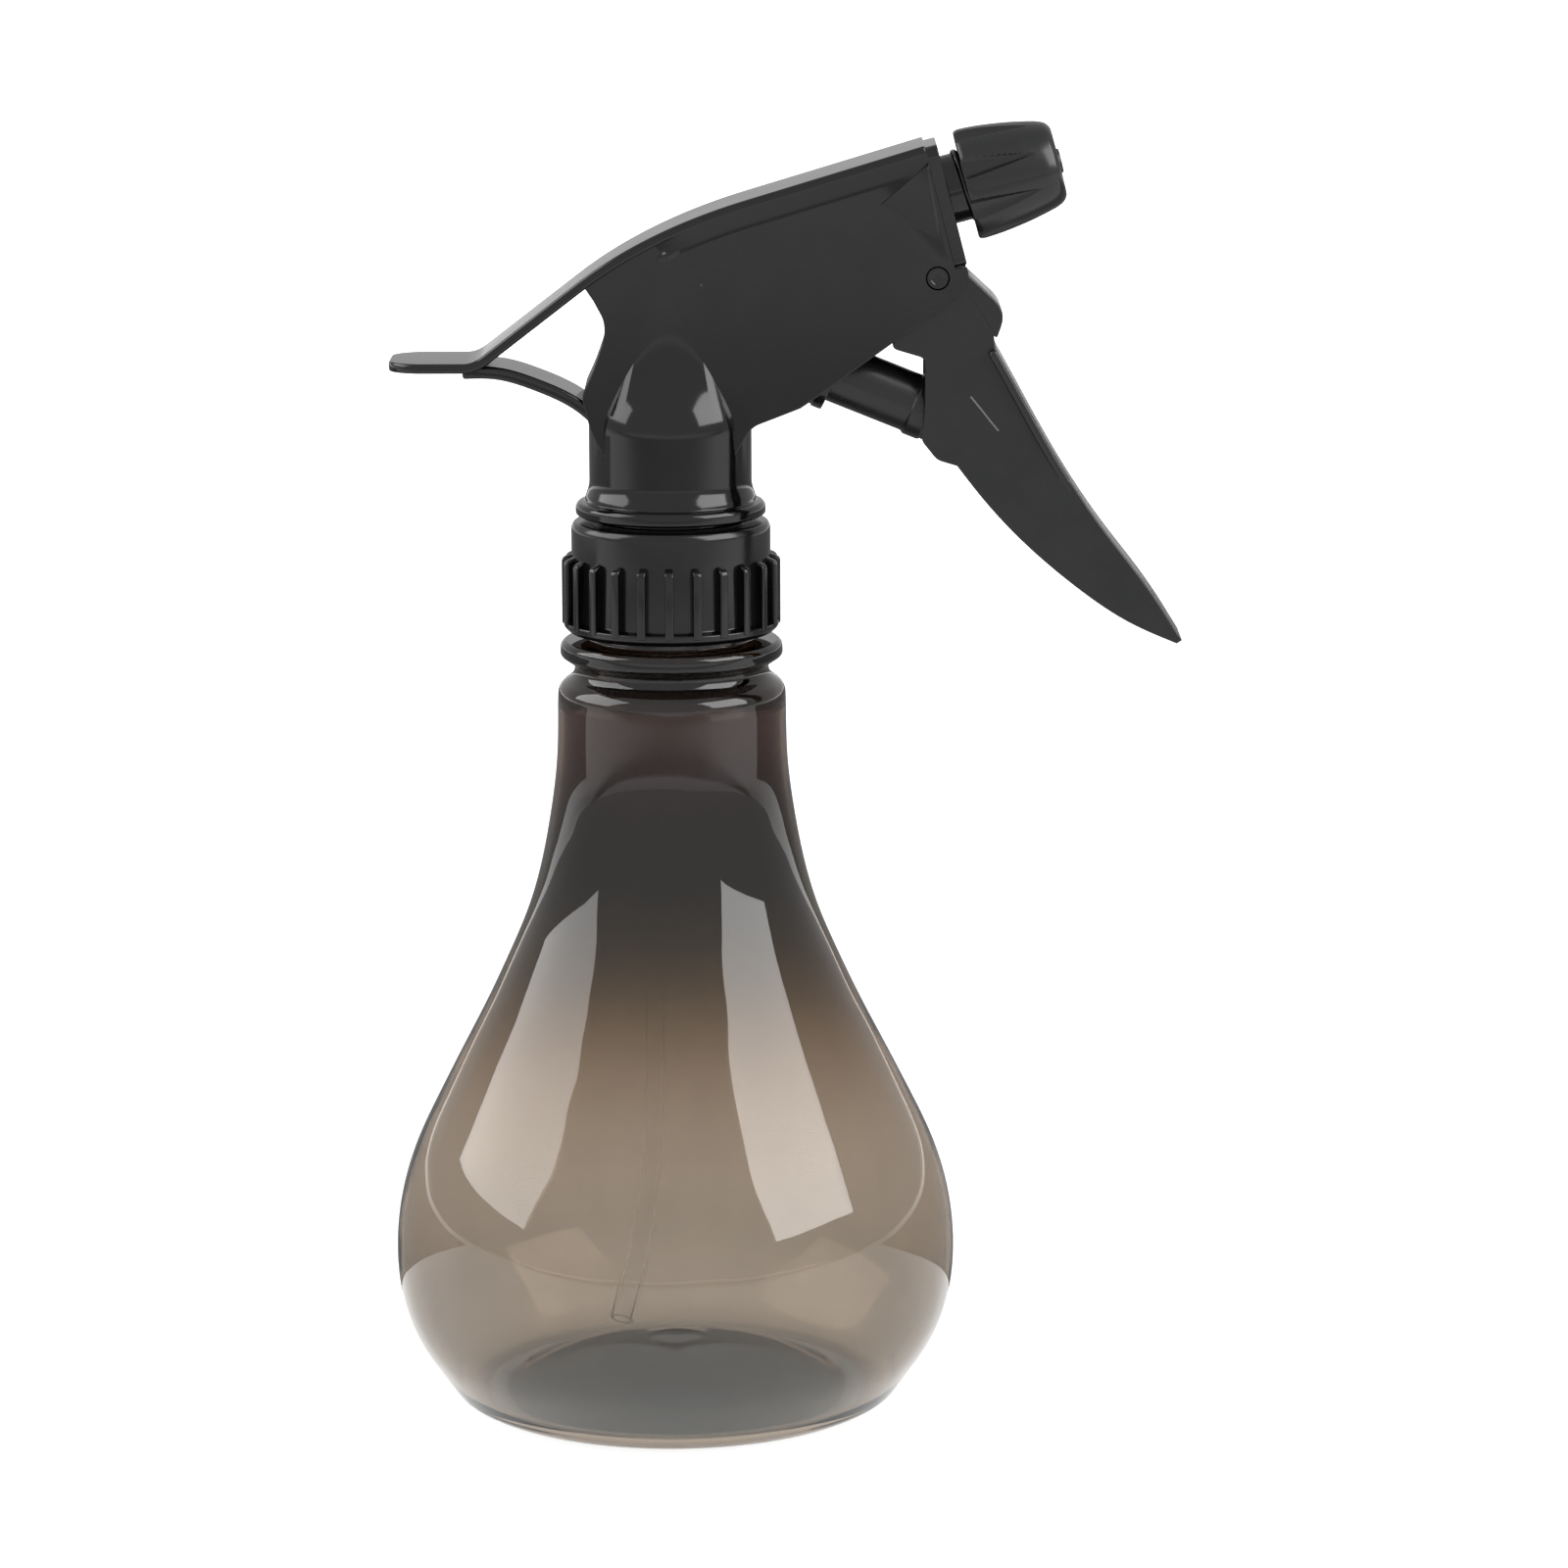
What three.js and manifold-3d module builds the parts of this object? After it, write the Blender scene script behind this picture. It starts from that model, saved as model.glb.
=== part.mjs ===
// Hand mister: a pear-shaped squeeze-trigger spray bottle, millimetres, +Z up.
// The nozzle points towards +X and the trigger swings in the XZ plane.
import * as THREE from 'three';
import { mergeVertices } from 'three/addons/utils/BufferGeometryUtils.js';
import Module from 'manifold-3d';

const wasm = await Module();
wasm.setup();

// ---------------------------------------------------------------- driving dimensions
// The shapes below are laid out with the bottle's axis on X = 0. The whole mister then moves
// by this much, so that the origin is under the middle of its box.
const BOTTLE_AXIS_X = -17.1;

const ROUND = 28; // sides of a round piece
const BELLY_ROUND = 40; // sides of the bottle
const FINE_ROUND = 48; // sides of the closure, twice its number of ribs
const GAP = 0.3; // clearance between pieces that touch on the real object

// Bottle
const BOTTLE_WALL = 0.9;
const BASE_RING_INNER = 26.5;
const BASE_RING_OUTER = 30;
const PUSH_UP = 7.2; // height of the dome under the base
const NECK_RADIUS = 12.5;
const NECK_BORE = 10.9;
const NECK_TOP = 131.8;
const RING_RADIUS = 16.85; // support ring under the closure
const NECK_THREAD_PITCH = 4.2;
const NECK_THREAD_TURNS = 1.5;
const NECK_THREAD_START = 122.6;

// Closure
const CLOSURE_BOTTOM = 120.2;
const CLOSURE_TOP = 137.1;
const CLOSURE_RADIUS = 15.1;
const CLOSURE_BORE = 13.9;
const RIB_COUNT = 24;
const RIB_RADIUS = 16.6;
const RIB_WIDTH = 1.3;

// Spray head
const STEM_RADIUS = 12.3;
const STEM_WALL = 1.3;
const PANEL_HALF = 7.4; // half the width across the flat side panels
const PANEL_WALL = 1.05;
const FLANGE_HALF = 8; // half the width of the roof flange and finger rest
const FLANGE_THICK = 1.5;
const STRUT_HALF = 6.5;

// Trigger pivot, pump axis and nozzle axis
const PIVOT = { x: 40.2, z: 174.5 };
const PIN_RADIUS = 1.6;
const PUMP_POINT = { x: 32.87, z: 156.35 }; // foot of the perpendicular from the pivot
const PUMP_TILT = 22; // degrees that the pump axis falls towards the trigger
const NOZZLE_POINT = { x: 41.9, z: 187 }; // centre of the front plate's outer face
const NOZZLE_TILT = 14.4; // degrees that the nozzle axis rises

// Pump
const CYLINDER_RADIUS = 5.8;
const CYLINDER_BORE = 4.85;
const CYLINDER_MOUTH = -8.6; // all along the pump axis, from PUMP_POINT
const CYLINDER_FLOOR = -29;
const PISTON_RADIUS = 4.5;
const PISTON_COLLAR = 4.85;
const BAR_PLACE = 9.3; // the trigger's cross bar, along the pump axis
const BAR_RADIUS = 1.3;

// Nozzle
const PLATE_THICK = 1.4;
const SPIGOT_RADIUS = 5.2;
const SPIGOT_THREAD_PITCH = 2;
const SPIGOT_THREAD_START = 1.1;
const CAP_REAR = 2.7; // along the nozzle axis, from NOZZLE_POINT
const CAP_FLUTES = 8;

// Trigger
const TRIGGER_HALF = 5.9;
const TRIGGER_WALL = 0.8;
const TRIGGER_SKIN = 1.6;

const radians = THREE.MathUtils.degToRad;

// ---------------------------------------------------------------- materials
function plastic(colour, roughness) {
  return new THREE.MeshStandardMaterial({ color: colour, roughness, metalness: 0 });
}

const MATERIALS = {
  smokedPet: new THREE.MeshStandardMaterial({
    color: 0x6b6056, roughness: 0.08, metalness: 0, transparent: true, opacity: 0.6,
  }),
  blackGloss: plastic(0x17181b, 0.25),
  blackRibbed: plastic(0x1b1c1f, 0.32),
  naturalPlastic: plastic(0xd8d8d2, 0.45),
  clearTube: plastic(0xdde0dd, 0.3),
  seal: plastic(0x8f9294, 0.7),
  steel: new THREE.MeshStandardMaterial({ color: 0xb9bcc0, roughness: 0.3, metalness: 1 }),
};

// ---------------------------------------------------------------- solids and booleans
function solid(geometry) {
  const bare = geometry.clone();
  bare.deleteAttribute('normal');
  bare.deleteAttribute('uv');
  const merged = mergeVertices(bare, 1e-4);
  const corners = merged.index.array;
  const triangles = [];
  for (let i = 0; i < corners.length; i += 3) {
    const [a, b, c] = corners.slice(i, i + 3);
    if (a !== b && b !== c && c !== a) triangles.push(a, b, c);
  }
  return new wasm.Manifold(new wasm.Mesh({
    numProp: 3,
    vertProperties: merged.attributes.position.array,
    triVerts: new Uint32Array(triangles),
  }));
}

function geometryOf(manifold) {
  const mesh = manifold.getMesh();
  const geometry = new THREE.BufferGeometry();
  geometry.setAttribute('position', new THREE.BufferAttribute(mesh.vertProperties, 3));
  geometry.setIndex(new THREE.BufferAttribute(mesh.triVerts, 1));
  geometry.computeVertexNormals();
  return geometry;
}

function joined(...manifolds) {
  return manifolds.reduce((sum, next) => sum.add(next));
}

// A profile of [radius, height] points turned about the Z axis. It runs counter-clockwise.
function turned(profile, sides = ROUND) {
  const points = profile.map(([radius, height]) => new THREE.Vector2(radius, height));
  return new THREE.LatheGeometry(points, sides).rotateX(Math.PI / 2);
}

function rod(radius, from, to, sides = ROUND) {
  return turned([[0, from], [radius, from], [radius, to], [0, to]], sides);
}

function tubeBetween(inner, outer, from, to, sides = ROUND) {
  return turned([[inner, from], [outer, from], [outer, to], [inner, to], [inner, from]], sides);
}

// A closed outline in the XZ plane. Each corner is [x, z] or [x, z, rounding length].
function outline(corners) {
  const shape = new THREE.Shape();
  corners.forEach(([x, z, rounding = 0], i) => {
    const here = new THREE.Vector2(x, z);
    const before = new THREE.Vector2(...corners.at(i - 1));
    const after = new THREE.Vector2(...corners[(i + 1) % corners.length]);
    const start = here.clone().add(before.sub(here).setLength(rounding));
    const end = here.clone().add(after.sub(here).setLength(rounding));
    if (i === 0) shape.moveTo(start.x, start.y);
    else shape.lineTo(start.x, start.y);
    if (rounding > 0) shape.quadraticCurveTo(x, z, end.x, end.y);
  });
  shape.closePath();
  return shape;
}

// An XZ outline given its thickness along Y, centred on the XZ plane.
function plate(shape, halfWidth, curveSegments = 4) {
  const settings = { depth: 2 * halfWidth, bevelEnabled: false, curveSegments };
  return new THREE.ExtrudeGeometry(shape, settings).rotateX(Math.PI / 2).translate(0, halfWidth, 0);
}

// The polyline moved sideways, to its right as it is followed.
function offsetLine(points, distance) {
  return points.map(([x, z], i) => {
    const [x0, z0] = points[Math.max(i - 1, 0)];
    const [x1, z1] = points[Math.min(i + 1, points.length - 1)];
    const length = Math.hypot(x1 - x0, z1 - z0);
    return [x + (distance * (z1 - z0)) / length, z - (distance * (x1 - x0)) / length];
  });
}

function smoothLine(points, steps) {
  const curve = new THREE.SplineCurve(points.map(([x, z]) => new THREE.Vector2(x, z)));
  return curve.getPoints(steps).map((point) => [point.x, point.y]);
}

class Helix extends THREE.Curve {
  constructor(radius, pitch, turns, start) {
    super();
    Object.assign(this, { radius, pitch, turns, start });
  }

  getPoint(t, target = new THREE.Vector3()) {
    const angle = 2 * Math.PI * this.turns * t;
    const height = this.start + this.pitch * this.turns * t;
    return target.set(this.radius * Math.cos(angle), this.radius * Math.sin(angle), height);
  }
}

// A round bar that follows a curve, with flat ends.
function barAlong(curve, radius, steps, sides) {
  const section = new THREE.Shape();
  section.absarc(0, 0, radius, 0, 2 * Math.PI, false);
  const settings = { steps, extrudePath: curve, bevelEnabled: false, curveSegments: sides };
  return new THREE.ExtrudeGeometry(section, settings);
}

// The frame whose Z axis lies in the XZ plane, the given degrees from straight up.
function tiltedFrame(point, degreesFromUp) {
  return new THREE.Matrix4().makeRotationY(radians(degreesFromUp)).setPosition(point.x, 0, point.z);
}

const pumpFrame = tiltedFrame(PUMP_POINT, 90 + PUMP_TILT);
const nozzleFrame = tiltedFrame(NOZZLE_POINT, 90 - NOZZLE_TILT);

function inPumpFrame(geometry) {
  return geometry.applyMatrix4(pumpFrame);
}

function inNozzleFrame(geometry) {
  return geometry.applyMatrix4(nozzleFrame);
}

// ---------------------------------------------------------------- the scene graph
const mister = new THREE.Group();
mister.position.x = BOTTLE_AXIS_X;
const pumpAxis = new THREE.Group();
pumpAxis.applyMatrix4(pumpFrame);
const nozzleAxis = new THREE.Group();
nozzleAxis.applyMatrix4(nozzleFrame);
mister.add(pumpAxis, nozzleAxis);

function addPiece(name, geometry, material, parent = mister) {
  const mesh = new THREE.Mesh(geometry, material);
  mesh.name = name;
  parent.add(mesh);
}

// ---------------------------------------------------------------- bottle
// Stretch-blown PET: a thin pear with a push-up base, a support ring and a threaded neck.
function bottle() {
  const heel = [[BASE_RING_OUTER, 0], [32.6, 0.45], [34.6, 1.6], [35.6, 3.2]];
  const belly = smoothLine([
    [35.6, 3.2], [40.9, 12], [43.1, 24], [41.2, 36.3], [34.6, 51],
    [26.9, 66.2], [21.1, 81.3], [18.1, 96], [17.4, 109],
  ], 12);
  const shoulder = [[17.1, 111.3], [16.2, 112.9], [14.8, 113.6]];
  const ring = [[14.8, 115.2], [RING_RADIUS, 116.7], [RING_RADIUS, 118.3], [16.2, 118.9]];
  const neck = [[NECK_RADIUS, 118.9], [NECK_RADIUS, NECK_TOP - 0.4], [12.1, NECK_TOP]];
  const mouth = [[NECK_BORE + 0.3, NECK_TOP], [NECK_BORE, NECK_TOP - 0.3], [NECK_BORE, 114]];
  const dome = smoothLine([[0, PUSH_UP], [9, 6.4], [18, 4], [BASE_RING_INNER, 0]], 4);
  const innerShoulder = [[13.4, 112.3], [15.9, 111], [17.4 - BOTTLE_WALL, 109]];
  const innerBelly = offsetLine(belly, -BOTTLE_WALL).slice(0, -1).reverse();
  const innerHeel = [[33.6, 2.4], [BASE_RING_OUTER, 0.95], [BASE_RING_INNER + 0.4, 0.95]];
  const innerDome = offsetLine(dome, -BOTTLE_WALL).slice(1, -1).reverse();
  const profile = [
    ...dome, ...heel, ...belly.slice(1), ...shoulder, ...ring, ...neck, ...mouth,
    ...innerShoulder, ...innerBelly, ...innerHeel, ...innerDome, [0, PUSH_UP + BOTTLE_WALL],
  ];
  const thread = new Helix(NECK_RADIUS - 0.05, NECK_THREAD_PITCH, NECK_THREAD_TURNS, NECK_THREAD_START);
  const ridge = barAlong(thread, 0.9, 30, 3);
  return geometryOf(joined(solid(turned(profile, BELLY_ROUND)), solid(ridge)));
}

// ---------------------------------------------------------------- closure and gasket
// The ribbed screw collar. Its top edge clamps the pump body's flange to the bottle's mouth.
function closure() {
  const shell = solid(turned([
    [CLOSURE_BORE, CLOSURE_BOTTOM], [14.9, CLOSURE_BOTTOM], [16.4, 121.2], [16.4, 122],
    [CLOSURE_RADIUS + 0.1, 122.3], [CLOSURE_RADIUS, 136.3], [14.5, CLOSURE_TOP],
    [11.3, CLOSURE_TOP], [11.3, 135.7], [CLOSURE_BORE, 135.7], [CLOSURE_BORE, CLOSURE_BOTTOM],
  ], FINE_ROUND));
  const ribSide = outline([[14.7, 121.5], [RIB_RADIUS, 121.5], [RIB_RADIUS, 131, 0.6], [14.7, 132.2]]);
  const rib = solid(plate(ribSide, RIB_WIDTH / 2, 2));
  let body = shell;
  for (let i = 0; i < RIB_COUNT; i += 1) {
    body = body.add(rib.rotate([0, 0, (360 * (i + 0.5)) / RIB_COUNT + 7.5]));
  }
  const start = NECK_THREAD_START + NECK_THREAD_PITCH / 2;
  const thread = new Helix(CLOSURE_BORE + 0.05, NECK_THREAD_PITCH, NECK_THREAD_TURNS, start);
  return geometryOf(body.add(solid(barAlong(thread, 0.8, 30, 3))));
}

// ---------------------------------------------------------------- head shell
// One black moulding: a round stem that cones into two flat panels under a roof flange.
// The flange runs on to the rear as the finger rest, and a strut closes the tail loop.
function roofLine() {
  const line = new THREE.Path();
  line.moveTo(-42.2, 161.9);
  line.lineTo(-30.8, 161.9);
  line.quadraticCurveTo(-29.3, 161.9, -27.8, 163.1);
  line.lineTo(-14, 173.7);
  line.quadraticCurveTo(-3.5, 181.8, 12, 186.4);
  line.lineTo(38.2, 194.3);
  return line.getPoints(8).map((point) => [point.x, point.y]);
}

function headShell() {
  const roof = roofLine();
  const under = offsetLine(roof, FLANGE_THICK);
  const flange = plate(outline([...roof, ...under.reverse()]), FLANGE_HALF);
  const strutTop = smoothLine([[-31, 161.3], [-25.7, 161.2], [-19.5, 159.4], [-12.5, 155.8], [-9, 152.5]], 8);
  const strut = plate(outline([...strutTop, ...offsetLine(strutTop, 1.9).reverse()]), STRUT_HALF);

  // The panels: the front edge is parallel to the front plate, which stands before it.
  const roofOverPanels = offsetLine(roof, 0.8).filter(([x]) => x > -13.5);
  const panels = solid(plate(outline([
    ...roofOverPanels, [42.75, 176.1], [44.6, 176.1], [45, 174.4, 1.2],
    [43.4, 171.9, 1.2], [22.2, 156.7], [19.7, 155], [15.6, 153.4], [12.2, 152.1, 1.5], [9, 146],
    [-9, 146], [-11.6, 151, 1.5], [-13.2, 156.8], [-11.4, 159.8], [-9.6, 165.7], [-9.6, 168.2],
    [-10.8, 170.6],
  ]), PANEL_HALF));

  const stem = solid(turned([
    [0, 138], [14.4, 138], [14.4, 139.7], [14, 140.2], [12.9, 140.8], [STEM_RADIUS, 142.3],
    [STEM_RADIUS, 153.5], [6, 170.2], [0, 170.2],
  ], 36));
  const stemBore = solid(turned([
    [0, 137], [STEM_RADIUS - STEM_WALL, 137], [STEM_RADIUS - STEM_WALL, 152.9], [6.2, 165.8], [0, 165.8],
  ]));

  // The hollow between the panels is open to the front and along the slanting lower edge.
  const ceiling = offsetLine(roof, FLANGE_THICK + 0.1).filter(([x]) => x > -5);
  const hollow = solid(plate(outline([
    ...ceiling, [50, 196], [50, 160], [18, 146], [17.2, 155.3], [11, 153.4], [9, 150], [-8, 150],
    [-10, 156], [-8, 164], [-7.6, 172],
  ]), PANEL_HALF - PANEL_WALL));
  const pinHole = solid(rod(PIN_RADIUS + 0.25, -10, 10, 20).rotateX(Math.PI / 2).translate(PIVOT.x, 0, PIVOT.z));
  const outside = joined(solid(flange), solid(strut), panels, stem);
  return geometryOf(outside.subtract(stemBore).subtract(hollow).subtract(pinHole));
}

// ---------------------------------------------------------------- pump body
// Flange, riser, cylinder and outlet socket in one moulding, hidden in the head shell.
function pumpBody() {
  const flange = solid(tubeBetween(2, 13.1, 133.9, 135.4));
  const hub = solid(tubeBetween(9.4, 10.6, 135, 142));
  const riser = solid(rod(5, 126, 176.8, 20));
  const cylinder = solid(inPumpFrame(turned([
    [0, -34.5], [CYLINDER_RADIUS, -33], [CYLINDER_RADIUS, -10.2], [6.05, -10], [6.05, CYLINDER_MOUTH],
    [0, CYLINDER_MOUTH],
  ])));
  const socket = solid(inNozzleFrame(rod(3.4, -44, -34.5, 16)));
  const adapterBore = solid(rod(3.6, 120, 140.2, 20));
  const ballChamber = solid(rod(2.9, 140, 146.5, 16));
  const riserBore = solid(rod(1.8, 146, 176, 12));
  const cylinderBore = solid(inPumpFrame(rod(CYLINDER_BORE, CYLINDER_FLOOR, 0)));
  const port = solid(inPumpFrame(rod(1.2, -35.4, CYLINDER_FLOOR + 1, 10)));
  const ventHole = solid(rod(0.6, 0, 8, 8).rotateY(Math.PI / 2).translate(0, 0, -11.4).applyMatrix4(pumpFrame));
  const tubeBore = solid(inNozzleFrame(rod(2.35, -39, -30, 16)));
  const outlet = solid(inNozzleFrame(rod(1.1, -43.2, -38, 10)));
  const cuts = joined(adapterBore, ballChamber, riserBore, cylinderBore, port, ventHole, tubeBore, outlet);
  return geometryOf(joined(flange, hub, riser, cylinder, socket).subtract(cuts));
}

// ---------------------------------------------------------------- piston
// A hollow rod with two seal grooves. The tongue at its outer end holds the trigger's bar
// in a slot, which is long across the stroke because the bar swings on an arc.
function piston() {
  const body = solid(turned([
    [0, -2.5], [2.9, -2.5], [2.9, -16.5], [4.4, -16.5], [4.4, -15.6], [3.6, -15.6], [3.6, -13.4],
    [4.4, -13.4], [4.4, -12], [3.6, -12], [3.6, -10.4], [4.4, -10.4], [PISTON_RADIUS, -8],
    [PISTON_RADIUS, 4.1], [PISTON_COLLAR, 4.1], [PISTON_COLLAR, 6.8], [4.4, 7.2], [0, 7.2],
  ]));
  const tongue = solid(new THREE.BoxGeometry(7.4, 3, 5.2).translate(0.8, 0, 9.4));
  const slot = solid(new THREE.BoxGeometry(5.4, 5, 3.3).translate(1.05, 0, 9.35));
  return geometryOf(body.add(tongue).subtract(slot));
}

// ---------------------------------------------------------------- trigger
// A channel with two cheeks, a wide front flange that narrows to the tip, a nose under the
// front plate, and a cross bar that pushes the piston.
function trigger() {
  const front = smoothLine([
    [48.9, 163.9], [52.1, 158.1], [57.3, 148.7], [65.7, 135.8], [72.1, 127.4], [77.3, 119.3],
  ], 10);
  const nose = [[36.9, 176.8, 2], [42.2, 176.9, 1.6], [43.1, 175.4], [45, 174.6], [50.6, 169.4, 2.6], [48.7, 165]];
  const rear = smoothLine([
    [76.5, 118.8], [69.4, 122], [61.1, 127.6], [52.8, 134.8], [46.6, 141.6], [43.2, 146],
  ], 8);
  const side = outline([
    ...nose, ...front, ...rear, [40.2, 146.9], [37.8, 149.9], [38.3, 155], [38.3, 162.3, 0.8],
    [33.3, 163.8, 1], [34.4, 168.5],
  ]);
  const body = solid(plate(side, TRIGGER_HALF));

  const innerFront = offsetLine(front, TRIGGER_SKIN).slice(0, -2);
  const channel = solid(plate(outline([
    [30, 190], [41.6, 190], [41.6, 173.6], [44.3, 172.8], [47.6, 169.4], [47.1, 164.6],
    ...innerFront, [68.5, 122], [60, 112], [30, 130],
  ]), TRIGGER_HALF - TRIGGER_WALL));

  const flangeStrip = solid(plate(outline([...front, ...offsetLine(front, 1.4).reverse()]), 9));
  const flangeWidth = new THREE.Shape([[-7.6, 165], [-4, 118], [4, 118], [7.6, 165]]
    .map(([y, z]) => new THREE.Vector2(y, z)));
  const flangeTaper = solid(new THREE.ExtrudeGeometry(flangeWidth, { depth: 50, bevelEnabled: false })
    .rotateX(Math.PI / 2).rotateZ(Math.PI / 2).translate(40, 0, 0));
  const flange = flangeStrip.intersect(flangeTaper);

  const crossBar = rod(BAR_RADIUS, -5.5, 5.5, 20).rotateX(Math.PI / 2).translate(0, 0, BAR_PLACE);
  const bar = solid(inPumpFrame(crossBar));
  const pinBore = solid(rod(PIN_RADIUS + 0.3, -8, 8, 20).rotateX(Math.PI / 2).translate(PIVOT.x, 0, PIVOT.z));
  return geometryOf(joined(body.subtract(channel), flange, bar).subtract(pinBore));
}

// ---------------------------------------------------------------- front plate and spigot
// The nozzle seat closes the front of the head. Its threaded spigot carries the cap outside
// and the outlet valve inside, and the discharge tube plugs into its back.
function frontPlate() {
  const face = outline([[-7.6, -7.4, 1.6], [10.8, -7.4, 1], [10.8, 7.4, 1], [-7.6, 7.4, 1.6]]);
  const slab = new THREE.ExtrudeGeometry(face, { depth: PLATE_THICK, bevelEnabled: false, curveSegments: 4 })
    .translate(0, 0, -PLATE_THICK);
  const spigot = rod(SPIGOT_RADIUS, -0.5, 8.6, 24);
  const nose = rod(4.2, 8, 13.2, 24);
  const socket = rod(3.8, -7, -0.5, 20);
  const thread = new Helix(SPIGOT_RADIUS - 0.05, SPIGOT_THREAD_PITCH, 3.2, SPIGOT_THREAD_START);
  const ridge = barAlong(thread, 0.6, 52, 2);
  const body = joined(...[slab, spigot, nose, socket, ridge].map(solid));
  const cuts = joined(solid(rod(2.35, -8, -2, 16)), solid(rod(0.9, -3, 1, 10)), solid(rod(3, 0, 14, 16)));
  return geometryOf(body.subtract(cuts));
}

// ---------------------------------------------------------------- nozzle cap
// The adjusting cap: pointed flutes run from its rear edge and die out before the front.
function nozzleCap() {
  const outside = turned([
    [0, CAP_REAR], [8.1, CAP_REAR], [8.4, 3.4], [8.3, 5.8], [8, 8.4], [7.6, 11], [7.05, 13.6],
    [6.6, 15.4], [5.9, 16.6], [5.2, 17], [1.9, 17], [1.6, 17.5], [0, 17.5],
  ], 32);
  let body = solid(outside);
  const flute = solid(turned([[0, 0], [2.4, 0], [0.05, 11.5], [0, 11.5]], 8)
    .rotateY(radians(-14)).translate(9.9, 0, CAP_REAR - 0.5));
  for (let i = 0; i < CAP_FLUTES; i += 1) {
    body = body.subtract(flute.rotate([0, 0, (360 * (i + 0.5)) / CAP_FLUTES]));
  }
  const inside = turned([
    [0, 2], [6.2, 2], [6.2, 10.4], [4.6, 10.6], [4.6, 10.7], [5.4, 10.7], [5.4, 11.9], [4.6, 11.9],
    [4.6, 15.9], [0.5, 15.9], [0.5, 18], [0, 18],
  ], 24);
  const threadStart = SPIGOT_THREAD_START + 1.5 * SPIGOT_THREAD_PITCH;
  const thread = new Helix(6.25, SPIGOT_THREAD_PITCH, 2.4, threadStart);
  const ridge = barAlong(thread, 0.55, 36, 2);
  return geometryOf(body.subtract(solid(inside)).add(solid(ridge)));
}

// ---------------------------------------------------------------- small pieces
// A coil spring along Z, wound from one height to another.
function coil(radius, wire, turns, from, to, sides) {
  const path = new Helix(radius, (to - from - 2 * wire) / turns, turns, from + wire);
  return barAlong(path, wire, Math.round(turns * 9), sides);
}

function dipTube() {
  const route = new THREE.CatmullRomCurve3([
    [0, 0, 136.9], [0, 0, 122], [0, 0, 116], [-2.3, 0.6, 92], [-3, 1, 55], [-5, 1.6, 26], [-8.5, 2.4, 10.5],
  ].map((point) => new THREE.Vector3(...point)));
  const outside = solid(barAlong(route, 1.9, 18, 5));
  const bore = solid(barAlong(route, 1.3, 18, 4));
  return geometryOf(outside.subtract(bore));
}

// Ball seat over the dip tube, pushed up into the riser.
function tubeAdapter() {
  return turned([
    [2.2, 124], [4.6, 124], [4.6, 125.6], [3.3, 125.6], [3.3, 139.9], [2.4, 139.9], [1.2, 138.6],
    [1.2, 137.2], [2.2, 137.2], [2.2, 124],
  ], 20);
}

function ball(radius, height) {
  return new THREE.SphereGeometry(radius, 12, 8).rotateX(Math.PI / 2).translate(0, 0, height);
}

function swirlCore() {
  const body = solid(turned([[0, 8.2], [2.6, 8.2], [2.6, 13.5], [3.9, 13.5], [3.9, 14.1], [0, 14.1]], 20));
  const groove = new THREE.BoxGeometry(1, 1.4, 8).translate(0, 2.6, 11);
  let core = body;
  for (let i = 0; i < 3; i += 1) {
    core = core.subtract(solid(groove.clone().rotateZ(radians(120 * i))));
  }
  return geometryOf(core);
}

// ---------------------------------------------------------------- assembly
addPiece('bottle', bottle(), MATERIALS.smokedPet);
addPiece('neck_gasket', tubeBetween(9, 13.2, NECK_TOP + GAP, 133.6), MATERIALS.seal);
addPiece('closure', closure(), MATERIALS.blackRibbed);
addPiece('head_shell', headShell(), MATERIALS.blackGloss);
addPiece('pump_body', pumpBody(), MATERIALS.blackGloss);
addPiece('tube_adapter', tubeAdapter(), MATERIALS.naturalPlastic);
addPiece('dip_tube', dipTube(), MATERIALS.clearTube);
addPiece('inlet_ball', ball(2.1, 142.3), MATERIALS.steel);
addPiece('trigger', trigger(), MATERIALS.blackGloss);
addPiece(
  'pivot_pin',
  rod(PIN_RADIUS, -7.3, 7.3, 16).rotateX(Math.PI / 2).translate(PIVOT.x, 0, PIVOT.z),
  MATERIALS.blackGloss,
);

addPiece('piston', piston(), MATERIALS.blackGloss, pumpAxis);
addPiece('piston_seal', tubeBetween(3.75, 4.7, -15.45, -13.55), MATERIALS.seal, pumpAxis);
addPiece('vent_seal', tubeBetween(3.75, 4.7, -11.85, -10.55), MATERIALS.seal, pumpAxis);
addPiece('return_spring', coil(2.2, 0.35, 8, CYLINDER_FLOOR + GAP, -2.8, 2), MATERIALS.steel, pumpAxis);

addPiece('front_plate', frontPlate(), MATERIALS.blackGloss, nozzleAxis);
addPiece('discharge_tube', tubeBetween(1.3, 2, -38.6, -2.4, 16), MATERIALS.naturalPlastic, nozzleAxis);
addPiece('outlet_valve', rod(2.5, 0.3, 1.5, 16), MATERIALS.seal, nozzleAxis);
addPiece('outlet_spring', coil(1.9, 0.25, 4, 1.8, 7.9, 2), MATERIALS.steel, nozzleAxis);
addPiece('swirl_core', swirlCore(), MATERIALS.naturalPlastic, nozzleAxis);
addPiece('nozzle_seal', new THREE.TorusGeometry(4.85, 0.4, 6, 24).translate(0, 0, 11.3), MATERIALS.seal, nozzleAxis);
addPiece('nozzle_cap', nozzleCap(), MATERIALS.blackGloss, nozzleAxis);

export default mister;
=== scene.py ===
import math

import bmesh
import bpy
import numpy as np
from mathutils import Matrix


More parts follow.
